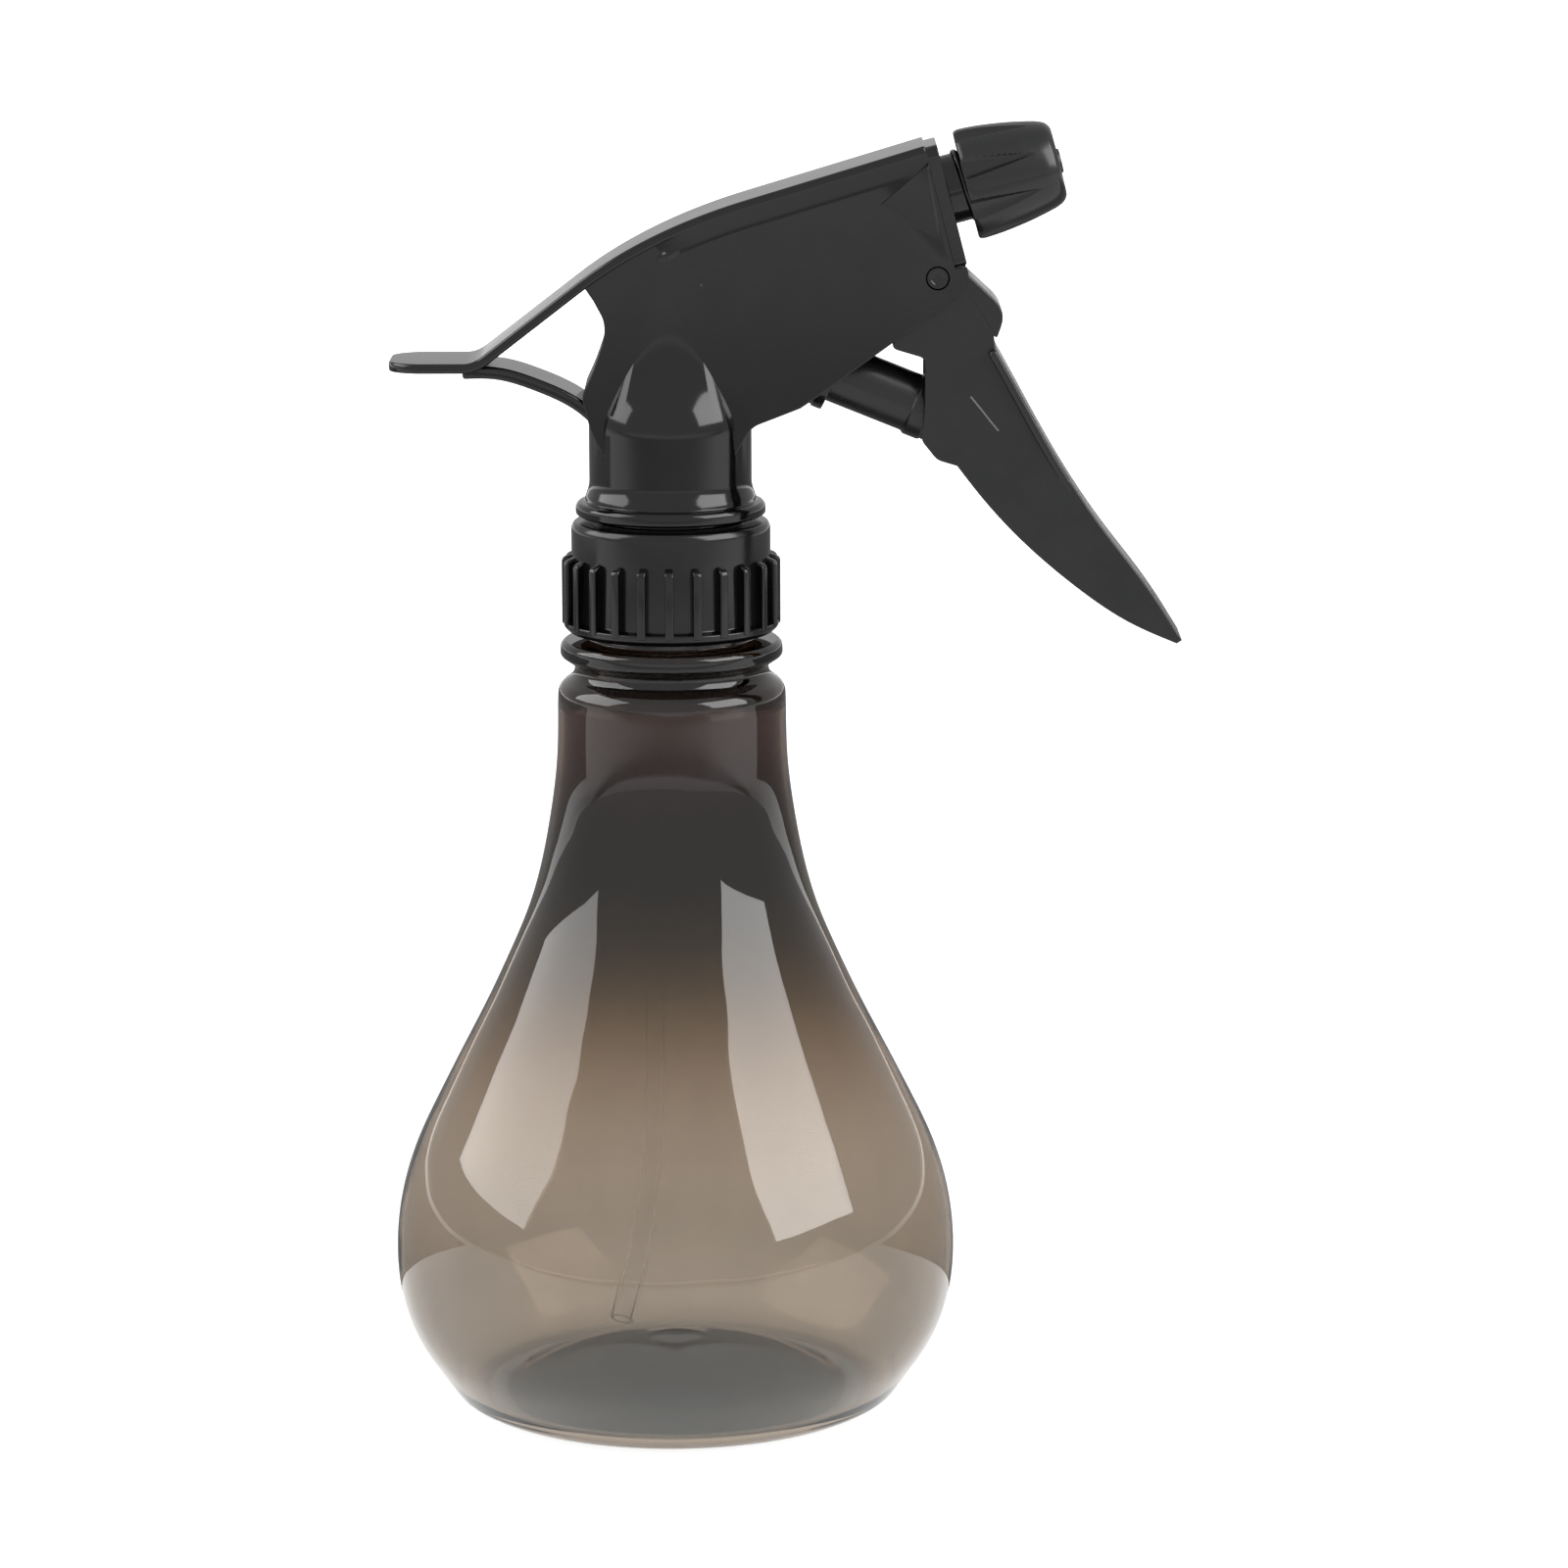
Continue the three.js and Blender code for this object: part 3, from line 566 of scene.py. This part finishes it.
def rib_tree():
    """Copies of one rib, spaced evenly round an axis."""
    tree = bpy.data.node_groups.new("ring_of_ribs", "GeometryNodeTree")
    for name, kind in (
        ("Rib", "Geometry"), ("Count", "Int"), ("First turn", "Float"), ("Axis", "Vector"),
        ("Finish", "Material"),
    ):
        tree.interface.new_socket(name, in_out="INPUT", socket_type="NodeSocket" + kind)
    tree.interface.new_socket("Geometry", in_out="OUTPUT", socket_type="NodeSocketGeometry")
    given = tree.nodes.new("NodeGroupInput").outputs
    spots = node(tree, "GeometryNodePoints", {"Count": given["Count"], "Position": given["Axis"]})
    index = node(tree, "GeometryNodeInputIndex").outputs[0]
    step = node(tree, "ShaderNodeMath", {0: 2 * math.pi, 1: given["Count"]}, operation="DIVIDE").outputs[0]
    turn = node(tree, "ShaderNodeMath", {
        0: index, 1: step, 2: given["First turn"],
    }, operation="MULTIPLY_ADD")
    facing = node(tree, "ShaderNodeCombineXYZ", {"Z": turn.outputs[0]})
    copies = node(tree, "GeometryNodeInstanceOnPoints", {
        "Points": spots.outputs[0], "Instance": given["Rib"], "Rotation": facing.outputs[0],
    })
    real = node(tree, "GeometryNodeRealizeInstances", {"Geometry": copies.outputs[0]})
    painted = node(tree, "GeometryNodeSetMaterial", {
        "Geometry": real.outputs[0], "Material": given["Finish"],
    })
    tree.links.new(painted.outputs[0], tree.nodes.new("NodeGroupOutput").inputs[0])
    return tree


rib_side = rounded([(14.6, 121.3), (16.6, 121.3, 0.3), (16.6, 131.4, 0.6), (14.6, 132.2)], steps=3)
rib = upright(sheet_prism(rib_side, -0.65, 0.65, rim=0.24, steps=3))
rib.data.transform(Matrix.Scale(MM, 4))
ribs = grown(
    rib_tree(), "closure_ribs", rib.data, Count=RIBS, First_turn=math.radians(15), Axis=(AXIS_X, 0, 0),
    Finish=ribbed_black,
)
collar_thread = wound(
    "closure_thread", ribbed_black, turns=NECK_TURNS, radius=13.95, start=124.7, end=124.7 + NECK_RISE,
    wire=0.7, run_out=0.06,
)
for piece in (collar, ribs, collar_thread):
    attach(piece, "closure")


# ---------------------------------------------------------------- head shell
# One glossy black moulding. A round stem cones into two flat panels; over them lies a roof
# flange with a coved rail below it, which runs back as the finger rest, and a curved strut
# closes the tail loop.
gloss_black = moulded(
    "gloss_black", (0.0012, 0.0013, 0.0016), smooth=0.09, dull=0.14, specks=0.6, depth=0.0000025,
    IOR=BLACK_IOR,
)
# satin black: rougher than the gloss black, and its colour lightened as painted light for the brighter
# table reflections on trigger, piston and cap
satin_black_painted_light = moulded(
    "satin_black_painted_light", (0.0062, 0.0064, 0.0072), smooth=0.2, dull=0.32, specks=0.6, depth=0.000003,
    IOR=BLACK_IOR,
)
PANEL = 7.4  # from the middle plane to a panel's face
FLANGE = 8.0  # the roof flange's half width
TAIL_CORNER = 5.2  # the finger rest's corner rounding, seen from above
STRUT_HALF = 6.5
PIVOT = (40.2, 174.5)
BUMP = (0.1, 178.2)
RAIL_START, RAIL_GROWTH = -4, 8  # where the coved rail starts, and the length it grows over


def combined(base, others, operation):
    """The base with the other bodies joined to it or cut from it."""
    scene.collection.objects.link(base)
    for other in others:
        scene.collection.objects.link(other)
        step = base.modifiers.new("step", "BOOLEAN")
        step.operation, step.solver, step.object = operation, "MANIFOLD", other
    bpy.context.view_layer.update()
    mesh = bpy.data.meshes.new_from_object(base.evaluated_get(bpy.context.evaluated_depsgraph_get()))
    for used in (base, *others):
        bpy.data.objects.remove(used)
    return bpy.data.objects.new("body", mesh)


def strip(line, thickness, half, edge=0.4, end=0.4):
    """A strip along a line of the middle plane, its thickness to the line's right. Its half
    width is a function of the distance along it, and its edges and ends are rounded."""
    p = np.array(line, float)
    gone = np.r_[0, np.cumsum(np.linalg.norm(np.diff(p, axis=0), axis=1))]
    near = end * np.array([0, 0.04, 0.15, 0.35, 0.65, 1])
    plan = np.array([0.8, 1.3, 2, 3, 4, 5])
    places = np.r_[near, plan, gone[(gone > 5.3) & (gone < gone[-1] - 1.2 * end)], gone[-1] - near[::-1]]
    spots = np.stack([np.interp(places, gone, p[:, 0]), np.interp(places, gone, p[:, 1])], 1)
    sections = []
    for place, spot, inner in zip(places, spots, side_step(spots, 1.0)):
        left = min(place, gone[-1] - place, end)
        trim = min(end - math.sqrt(end * end - (end - left) ** 2), 0.9 * thickness / 2)
        wide, low, high = half(place) - trim, trim, thickness - trim
        curve = min(edge, 0.49 * (high - low))
        section = rounded([
            (-wide, low, curve), (wide, low, curve), (wide, high, curve), (-wide, high, curve),
        ], closed=True, steps=4)
        sections.append([(*(spot + (inner - spot) * depth), y) for y, depth in section])
    return loft([[(x, y, z) for x, z, y in section] for section in sections])


roof = [
    (-42.2, 161.9), *quarter((-30.8, 161.9), (-29.3, 161.9), (-27.8, 163.1), 8),
    *quarter((-14, 173.7), (-3.5, 181.8), (12, 186.4), 30), (20.7, 189.02), (29.5, 191.67), (38.2, 194.3),
]


def roof_half(gone):
    """The roof flange's half width, which rounds off at the finger rest's end."""
    left = max(TAIL_CORNER - gone, 0)
    return FLANGE - TAIL_CORNER + math.sqrt(TAIL_CORNER**2 - left**2)


roof_flange = strip(roof, 1.5, roof_half, edge=0.62)

strut_top = smooth_line([(-31, 161.3), (-25.7, 161.2), (-19.5, 159.4), (-12.5, 155.8), (-9, 152.5)], 24)
strut = strip(strut_top, 1.9, lambda gone: STRUT_HALF, edge=0.6)

panel_top = [tuple(p) for p in side_step(roof, 0.8) if p[0] > -13.5]
panel_outline = [*panel_top, *rounded([
    (42.75, 176.1), (44.6, 176.1), (45, 174.4, 1.2), (43.4, 171.9, 1.2), (22.2, 156.7), (19.7, 155),
    (15.6, 153.4), (12.2, 152.1, 1.5), (9, 146), (-9, 146), (-11.6, 151, 1.5), (-13.2, 156.8, 1.6),
    (-11.4, 160.6, 1.6), (-9.6, 165.7, 1.2), (-9.6, 168.2, 1.2), (-11.2, 171.2),
])]
panels = upright(sheet_prism(panel_outline, -PANEL, PANEL, rim=0.25))

stem = lathe([(0, 138), *rounded([
    (13.9, 138), (14.4, 138.3, 0.3), (14.4, 139.6, 0.4), (13.9, 140.1, 0.25), (13, 140.2, 0.2),
    (12.9, 140.9, 0.3), (12.3, 142.6, 0.8), (12.3, 153.2, 2.2), (6, 170.2),
]), (0, 170.2)], 192)


def coved_rail(side):
    """The cove between panel and flange. It grows out of the panel behind the cone."""
    sections = []
    for p, q in zip(roof, side_step(roof, 1.0)):
        if p[0] < RAIL_START:
            continue
        down = np.array(q) - np.array(p)
        reach = min(1.0, max(0.0, (p[0] - RAIL_START) / RAIL_GROWTH))
        swell = reach * reach * (3 - 2 * reach)
        sink = 0.2 * (1 - min(1.0, 4 * reach))
        section = []
        for y, depth in (
            (6.6, 0.9), (7.42 + 0.5 * swell, 0.9), (7.42 + 0.4 * swell, 1.6), (7.41 + 0.26 * swell, 2.4),
            (7.4 + 0.12 * swell, 3.4), (7.38, 4.4), (6.6, 4.4),
        ):
            spot = np.array(p) + down * depth
            section.append((spot[0], side * (y - (sink if y > 7 else 0)), spot[1]))
        sections.append(section)
    return loft(sections)


def smooth_bump(centre, reach, out, lean, side):
    """A low swelling that rises smoothly out of a panel, longer along its lean than across."""
    sections = []
    for share in np.linspace(1, 0.06, 12):
        level = []
        for u in np.linspace(0, 2 * math.pi, 33)[:-1]:
            x, z = reach * share * math.cos(u), 0.45 * reach * share * math.sin(u)
            level.append((
                centre[0] + x * math.cos(lean) - z * math.sin(lean),
                side * (PANEL - 0.03 + out * (0.5 + 0.5 * math.cos(math.pi * share))),
                centre[1] + x * math.sin(lean) + z * math.cos(lean),
            ))
        sections.append(level)
    foot = [(x, side * (PANEL - 0.4), z) for x, y, z in sections[0]]
    return loft([foot, *sections])


head = combined(panels, [
    roof_flange, strut, stem, coved_rail(1), coved_rail(-1),
    *(smooth_bump(BUMP, reach=2.4, out=0.6, lean=0.45, side=side) for side in (1, -1)),
], "UNION")

stem_bore = lathe([(0, 137), (11, 137), (11, 152.9), (6.2, 165.8), (0, 165.8)], 96)
ceiling = [tuple(p) for p in side_step(roof, 1.6) if p[0] > -5]
hollow = upright(sheet_prism([
    *ceiling, (50, 197.6), (50, 160), (18, 146), (17.2, 155.3), (11, 153.4), (9, 150), (-8, 150),
    (-10, 156), (-8, 164), (-7.6, 172),
], -6.35, 6.35))


def lathe_rod(radius, low, high, sides=64):
    """A plain rod along Z."""
    return lathe([(0, low), (radius, low), (radius, high), (0, high)], sides)


def cross_rod(radius, low, high, at, sides=64):
    """A rod along Y through a point of the middle plane."""
    body = upright(lathe_rod(radius, low, high, sides))
    body.data.transform(Matrix.Translation((at[0], 0, at[1])))
    return body


def corner_relief(side):
    """The shallow sunk triangle in each panel's upper front corner."""
    inner = [(31.9, 7.12, 185.6), (40.3, 7.08, 180.5), (38.5, 7.36, 191.3)]
    outer = [(30.3, 8.1, 184.9), (41.1, 8.1, 178.4), (39.3, 8.1, 192.8)]
    return loft([[(x, side * y, z) for x, y, z in ring] for ring in (inner, outer)])


head = combined(head, [
    stem_bore, hollow, cross_rod(1.8, -10, 10, PIVOT), corner_relief(1), corner_relief(-1),
], "DIFFERENCE")
head = placed(head, "head_housing", gloss_black, crease=38, flats=True)
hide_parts("head_shell")
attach(head, "head")


# ---------------------------------------------------------------- pump
# The cylinder, its riser and its flange are one black moulding inside the housing; only the
# cylinder's lip shows. The piston is a glossy rod with a collar, and a steel spring behind it
# pushes it out against the trigger.
PUMP_POINT, PUMP_LEAN = (32.87, 156.35), 112.0


def leaned(body, origin, lean):
    """A body made about Z, moved to an axis through origin that leans that far from upright."""
    turn = Matrix.Rotation(math.radians(lean), 4, "Y")
    body.data.transform(Matrix.Translation((origin[0], 0, origin[1])) @ turn)
    return body


finish_node("pump_body", gloss_black)
lip_line = rounded([
    (4.85, -14), (5.8, -14), (5.8, -10.3, 0.15), (6.05, -10.1, 0.1), (6.05, -8.6, 0.3),
    (4.85, -8.6, 0.2), (4.85, -14),
], steps=4)
lip = placed(leaned(lathe(lip_line, 96), PUMP_POINT, PUMP_LEAN), "cylinder_lip", gloss_black)
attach(lip, "head")

rod_line = rounded([
    (0, -2.5), (2.9, -2.5), (2.9, -16.5), (4.4, -16.5), (4.4, -15.6), (3.6, -15.6), (3.6, -13.4),
    (4.4, -13.4), (4.4, -12), (3.6, -12), (3.6, -10.4), (4.4, -10.4), (4.5, -8), (4.5, 3.8, 0.2),
    (4.85, 4.2, 0.25),
    (4.85, 6.7, 0.35), (4.3, 7.2, 0.2), (0, 7.2),
], steps=4)
tongue = sheet_prism(rounded([
    (-2.9, -1.5, 0.4), (4.5, -1.5, 0.4), (4.5, 1.5, 0.4), (-2.9, 1.5, 0.4),
], closed=True), 6.8, 12.0, rim=0.3)
slot_cut = sheet_prism([(-1.65, -2.5), (3.75, -2.5), (3.75, 2.5), (-1.65, 2.5)], 7.7, 11.0)
piston = combined(lathe(rod_line, 96), [tongue], "UNION")
piston = leaned(combined(piston, [slot_cut], "DIFFERENCE"), PUMP_POINT, PUMP_LEAN)
piston = placed(piston, "piston_rod", satin_black_painted_light, flats=True)
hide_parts("piston")
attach(piston, "piston")


SPRING_FOOT, SPRING_TOP, SPRING_WIRE = -28.7, -2.8, 0.35
spring = wound(
    "return_coil", steel, turns=8.5, radius=2.2, start=SPRING_FOOT + SPRING_WIRE,
    end=SPRING_TOP - SPRING_WIRE, wire=SPRING_WIRE, origin=PUMP_POINT, lean=PUMP_LEAN,
)
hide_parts("return_spring")
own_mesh(spring)
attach(spring, "head")


# ---------------------------------------------------------------- trigger and pin
# A stiff channel: two cheeks, a broad front flange that the fingers pull, a nose that stops
# against the front plate, and a cross bar behind that pushes the piston.
front = smooth_line([
    (48.9, 163.9), (52.1, 158.1), (57.3, 148.7), (65.7, 135.8), (72.1, 127.4), (77.3, 119.3),
], 44)
back = smooth_line([
    (76.5, 118.8), (69.4, 122), (61.1, 127.6), (52.8, 134.8), (46.6, 141.6), (43.2, 146),
], 32)
cheek_outline = [
    *rounded([
        (36.9, 176.8, 2), (42.2, 176.9, 1.1), (43.1, 175.4, 0.4), (45, 174.6, 0.6), (50.6, 169.4, 2.6),
        (49.1, 165.2, 0.6),
    ], closed=True),
    *front, *back, *rounded([
        (43.2, 146), (40.2, 146.9, 0.8), (37.8, 149.9, 0.8), (38.3, 155, 1), (38.3, 162.3, 0.8),
        (33.3, 163.8, 1), (34.4, 168.5),
    ])[1:],
]
CHEEK = 5.9  # from the middle plane to a cheek's face
lever = upright(sheet_prism(cheek_outline, -CHEEK, CHEEK, rim=0.3))
FINGER_HALF, FINGER_TAPER = 7.5, 3.4  # the front flange's half width, and what it loses to the tip
finger_length = float(np.linalg.norm(np.diff(front, axis=0), axis=1).sum())
finger_flange = strip(
    front, 1.4, lambda gone: FINGER_HALF - FINGER_TAPER * gone / finger_length, edge=0.6, end=0.5,
)
bar = cross_rod(1.3, -5.5, 5.5, along_axis(PUMP_POINT, PUMP_LEAN, 9.3))
channel = upright(sheet_prism([
    (30, 190), (41.6, 190), (41.6, 173.6), (44.3, 172.8), (47.6, 169.4), (47.1, 164.6),
    *side_step(front, 1.6)[:-8], (68.5, 122), (60, 112), (30, 130),
], -5.1, 5.1))


def cheek_bead(side):
    """The faint raised line on each cheek."""
    line = [(45.1, 156.5), (46.5, 154.8), (47.9, 153), (49.3, 151.3)]
    ring = [(0.0, 0.16), (0.22, 0.0), (0.0, -0.3), (-0.22, 0.0)]
    return loft([
        [(x + dx * 0.8, side * (CHEEK + dy), z + dx * 0.6) for dx, dy in ring] for x, z in line
    ])


lever = combined(lever, [channel], "DIFFERENCE")
lever = combined(lever, [finger_flange, bar, cheek_bead(1), cheek_bead(-1)], "UNION")
lever = combined(lever, [cross_rod(1.9, -8, 8, PIVOT)], "DIFFERENCE")
lever = placed(lever, "trigger_lever", satin_black_painted_light, crease=38, flats=True)
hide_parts("trigger")
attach(lever, "trigger")

pin_end = [(0, 7.26), (0.9, 7.26), (1.05, 7.36), (1.55, 7.36), (1.72, 7.2)]
pin_line = [(r, -h) for r, h in pin_end] + [(r, h) for r, h in reversed(pin_end)]
pin = upright(lathe(pin_line, 64))
pin.data.transform(Matrix.Translation((PIVOT[0], 0, PIVOT[1])))
pin = placed(pin, "pivot_pin_rod", gloss_black, crease=15)
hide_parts("pivot_pin")
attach(pin, "head")


# ---------------------------------------------------------------- nozzle seat
# A plate closes the front of the housing. Its threaded spigot carries the cap outside, and the
# valve, its spring and the spinner inside.
NOZZLE_POINT, NOZZLE_LEAN = (41.9, 187.0), 75.6
SEAT_HALF = 7.34
seat_outline = rounded([
    (-7.6, -SEAT_HALF, 1.6), (10.8, -SEAT_HALF, 1), (10.8, SEAT_HALF, 1), (-7.6, SEAT_HALF, 1.6),
], closed=True)
seat = sheet_prism(seat_outline, -1.98, 0.0, rim=0.2)
spigot = lathe(rounded([
    (0, -7), (3.8, -7), (3.8, -1), (5.2, -1), (5.2, 8.6), (4.2, 8.6), (4.2, 13.2, 0.3), (0, 13.2),
]), 96)
plug = sheet_prism([(-6.2, -6), (8.8, -6), (8.8, 6), (-6.2, 6)], -3, -1)
bores = combined(lathe_rod(2.3, -8, -2), [lathe_rod(0.9, -3, 1), lathe_rod(3, 0, 14, 96)], "UNION")
seat = combined(combined(seat, [spigot, plug], "UNION"), [bores], "DIFFERENCE")
seat = placed(leaned(seat, NOZZLE_POINT, NOZZLE_LEAN), "nozzle_seat", gloss_black, flats=True)
seat_thread = wound(
    "nozzle_seat_thread", gloss_black, turns=3.2, radius=5.15, start=1.1, end=7.5, wire=0.55, run_out=0.03,
    origin=NOZZLE_POINT, lean=NOZZLE_LEAN,
)
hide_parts("front_plate")
for piece in (seat, seat_thread):
    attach(piece, "head")

valve_coil = wound(
    "valve_coil", steel, turns=4, radius=1.9, start=2.05, end=7.65, wire=0.25,
    origin=NOZZLE_POINT, lean=NOZZLE_LEAN,
)
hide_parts("outlet_spring")
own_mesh(valve_coil)
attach(valve_coil, "head")


# ---------------------------------------------------------------- nozzle cap
# The adjusting cap is gripped by eight pointed flutes, cut deepest at the rear edge. A flat face
# in front holds the small boss with the spray hole.
FLUTES = 8
FLUTE_FOOT, FLUTE_LENGTH = 2.2, 11.5
FLUTE_CENTRE, FLUTE_DRIFT = 9.9, 2.87  # off the axis: the cutting circle's centre, and its move inwards
FLUTE_CUT = 2.35  # the cutting circle's radius at the foot


def fluted_cap():
    """The cap as rings of points round its axis, the flutes taken out of the outer ones."""
    sides = 384
    soft = 0.05  # the rounding of a flute's edges
    turn = np.linspace(0, 2 * math.pi, sides, endpoint=False)
    outer = np.array(rounded([
        (7.6, 2.7), (8.15, 2.7, 0.3), (8.42, 3.4, 0.4), (8.3, 5.8, 1.2), (8, 8.4, 1.2), (7.6, 11, 1.2),
        (7.05, 13.6, 1.0), (6.6, 15.4, 0.8), (5.95, 16.7, 0.8), (5.1, 17.05, 0.3),
    ], steps=8))
    off = np.abs((turn * FLUTES / (2 * math.pi) + 0.5) % 1 - 0.5) * 2 * math.pi / FLUTES
    rings = []
    for radius, height in outer:
        reach = (height - FLUTE_FOOT) / FLUTE_LENGTH
        centre, cut = FLUTE_CENTRE - FLUTE_DRIFT * reach, max(FLUTE_CUT * (1 - reach) + soft, 0.0)
        sideways = centre * np.sin(off)
        inside_cut = cut * cut - sideways * sideways
        bite = np.where(inside_cut > 0, centre * np.cos(off) - np.sqrt(np.maximum(inside_cut, 0)), 99)
        bite = np.where(reach < 1, bite, 99)
        blend = np.clip(0.5 + (bite - radius) / (2 * soft), 0, 1)
        ring = bite * (1 - blend) + radius * blend - soft * blend * (1 - blend)
        rings.append((ring, height))
    for radius, height in [
        (1.95, 17.05), (1.75, 17.45), (0.85, 17.5), (0.5, 17.2), (0.5, 15.9), (4.6, 15.9), (4.6, 11.9),
        (5.4, 11.9), (5.4, 10.7), (4.6, 10.7), (4.6, 10.6), (6.2, 10.4), (6.2, 3.1), (6.5, 2.7),
    ]:
        rings.append((np.full(sides, radius), height))
    points = [(r * math.cos(t), r * math.sin(t), h) for ring, h in rings for r, t in zip(ring, turn)]
    faces = []
    for k in range(len(rings)):
        after = (k + 1) % len(rings)
        for i in range(sides):
            j = (i + 1) % sides
            faces.append([k * sides + i, k * sides + j, after * sides + j, after * sides + i])
    return solid(points, faces)


cap = fluted_cap()
cap.data.transform(Matrix.Rotation(math.pi / FLUTES, 4, "Z"))
cap = placed(leaned(cap, NOZZLE_POINT, NOZZLE_LEAN), "fluted_cap", satin_black_painted_light, crease=30)
cap_thread = wound(
    "cap_thread", gloss_black, turns=2.4, radius=6.2, start=4.1, end=8.9, wire=0.5, run_out=0.03,
    origin=NOZZLE_POINT, lean=NOZZLE_LEAN,
)
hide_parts("nozzle_cap")
for piece in (cap, cap_thread):
    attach(piece, "nozzle_cap")

RING_RADIUS, RING_HEIGHT, RING_THICK = 4.85, 11.3, 0.4
seal_ring = [
    (RING_RADIUS + RING_THICK * math.cos(t), RING_HEIGHT + RING_THICK * math.sin(t))
    for t in np.linspace(0, 2 * math.pi, 17)
]
seal = placed(leaned(lathe(seal_ring, 72), NOZZLE_POINT, NOZZLE_LEAN), "nozzle_o_ring", rubber, crease=80)
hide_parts("nozzle_seal")
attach(seal, "nozzle_ring")


# ---------------------------------------------------------------- studio
# A grey table that glows white and fades into a white room, two tall soft boxes above and in
# front, and the camera on the bottle's near side, looking a little down.
AIM_HEIGHT = 0.1
FLOOR_HALF = 6.0


def soft_box(name, azimuth, elevation, distance, width, tall, radiance):
    """A soft box aimed at the mister. Azimuth 0 is the camera's side, and positive is to the right."""
    light = bpy.data.lights.new(name, "AREA")
    light.shape, light.size, light.size_y = "RECTANGLE", width, tall
    light.energy = radiance * math.pi * width * tall
    box = bpy.data.objects.new(name, light)
    side, up = math.radians(azimuth), math.radians(elevation)
    box.location = (
        distance * math.sin(side) * math.cos(up),
        -distance * math.cos(side) * math.cos(up),
        AIM_HEIGHT + distance * math.sin(up),
    )
    box.rotation_euler = (math.pi / 2 - up, 0, side)
    box.visible_camera = False
    scene.collection.objects.link(box)


soft_box("left_soft_box", azimuth=-90, elevation=32, distance=2.2, width=2.06, tall=1.7, radiance=4.2)
soft_box("right_soft_box", azimuth=63, elevation=32, distance=2.2, width=1.69, tall=1.7, radiance=6.0)

floor_body = sheet_prism([(-1, -1), (1, -1), (1, 1), (-1, 1)], -0.01, 0.0)
floor_body.data.transform(Matrix.Diagonal((FLOOR_HALF, FLOOR_HALF, 1, 1)))
floor = bpy.data.objects.new("table", floor_body.data)
scene.collection.objects.link(floor)
table_glow_finish, tree, shader = new_material("glowing_table", (0.2, 0.2, 0.2), 0.6)
where = node(tree, "ShaderNodeTexCoord").outputs["Object"]
away = node(tree, "ShaderNodeSeparateXYZ", {"Vector": where}).outputs["Y"]
# the table glows white behind and round the mister, which paints out the mister's shadow on it;
# it glows less in the strip in front that the black panels mirror, and white again beyond that strip
near = node(tree, "ShaderNodeMapRange", {
    "Value": away, "From Min": -0.8, "From Max": -0.38, "To Min": 0.24, "To Max": 0.9,
}, interpolation_type="SMOOTHSTEP")
ahead = node(tree, "ShaderNodeMapRange", {
    "Value": away, "From Min": -1.5, "From Max": -1.05, "To Min": 1.0, "To Max": 0.0,
})
in_front = node(tree, "ShaderNodeMath", {
    0: near.outputs["Result"], 1: ahead.outputs["Result"],
}, operation="MAXIMUM")
behind = node(tree, "ShaderNodeMapRange", {
    "Value": away, "From Min": -0.05, "From Max": 1.5, "To Min": 0.0, "To Max": 0.6,
})
glow = node(tree, "ShaderNodeMath", {0: in_front.outputs[0], 1: behind.outputs["Result"]}, operation="ADD")
shader.inputs["Emission Color"].default_value = (1, 1, 1, 1)
tree.links.new(glow.outputs[0], shader.inputs["Emission Strength"])
floor.data.materials.append(table_glow_finish)

# a dark card lies on the table behind the mister; only reflections see it, and it keeps the
# glossy outlines from turning white
card_body = sheet_prism([(-1.2, 0.05), (1.2, 0.05), (1.2, 2.4), (-1.2, 2.4)], 0.0002, 0.0006)
card = bpy.data.objects.new("dark_card", card_body.data)
scene.collection.objects.link(card)
card.visible_camera = card.visible_diffuse = False
card.visible_transmission = card.visible_shadow = False
dark, tree, shader = new_material("dark_card", (0.12, 0.12, 0.12), 0.8)
card.data.materials.append(dark)

world = bpy.data.worlds.new("white_room")
world.use_nodes = True
tree = world.node_tree
around = node(tree, "ShaderNodeTexCoord").outputs["Generated"]
facing = node(tree, "ShaderNodeSeparateXYZ", {"Vector": around}).outputs["Y"]
room = node(tree, "ShaderNodeMapRange", {
    "Value": facing, "From Min": -0.6, "From Max": 0.6, "To Min": 0.95, "To Max": 0.62,
})
straight = node(tree, "ShaderNodeLightPath").outputs["Is Camera Ray"]
seen = node(tree, "ShaderNodeMix", {"Factor": straight, "A": room.outputs["Result"], "B": 1.1})
background = tree.nodes["Background"].inputs
background["Color"].default_value = (1, 1, 1, 1)
tree.links.new(seen.outputs["Result"], background["Strength"])
scene.world = world
scene.view_settings.view_transform = "Standard"

camera = bpy.data.cameras.new("camera")
camera.lens, camera.sensor_width = 135, 36
camera.clip_start, camera.clip_end = 0.01, 50
eye = bpy.data.objects.new("camera", camera)
scene.collection.objects.link(eye)
LOOK_DOWN, ROLL = 11.5, -0.17  # degrees
eye.matrix_world = (
    Matrix.Translation((-0.00006, -0.88122, 0.27546))
    @ Matrix.Rotation(math.radians(90 - LOOK_DOWN), 4, "X")
    @ Matrix.Rotation(math.radians(ROLL), 4, "Z")
)
scene.camera = eye
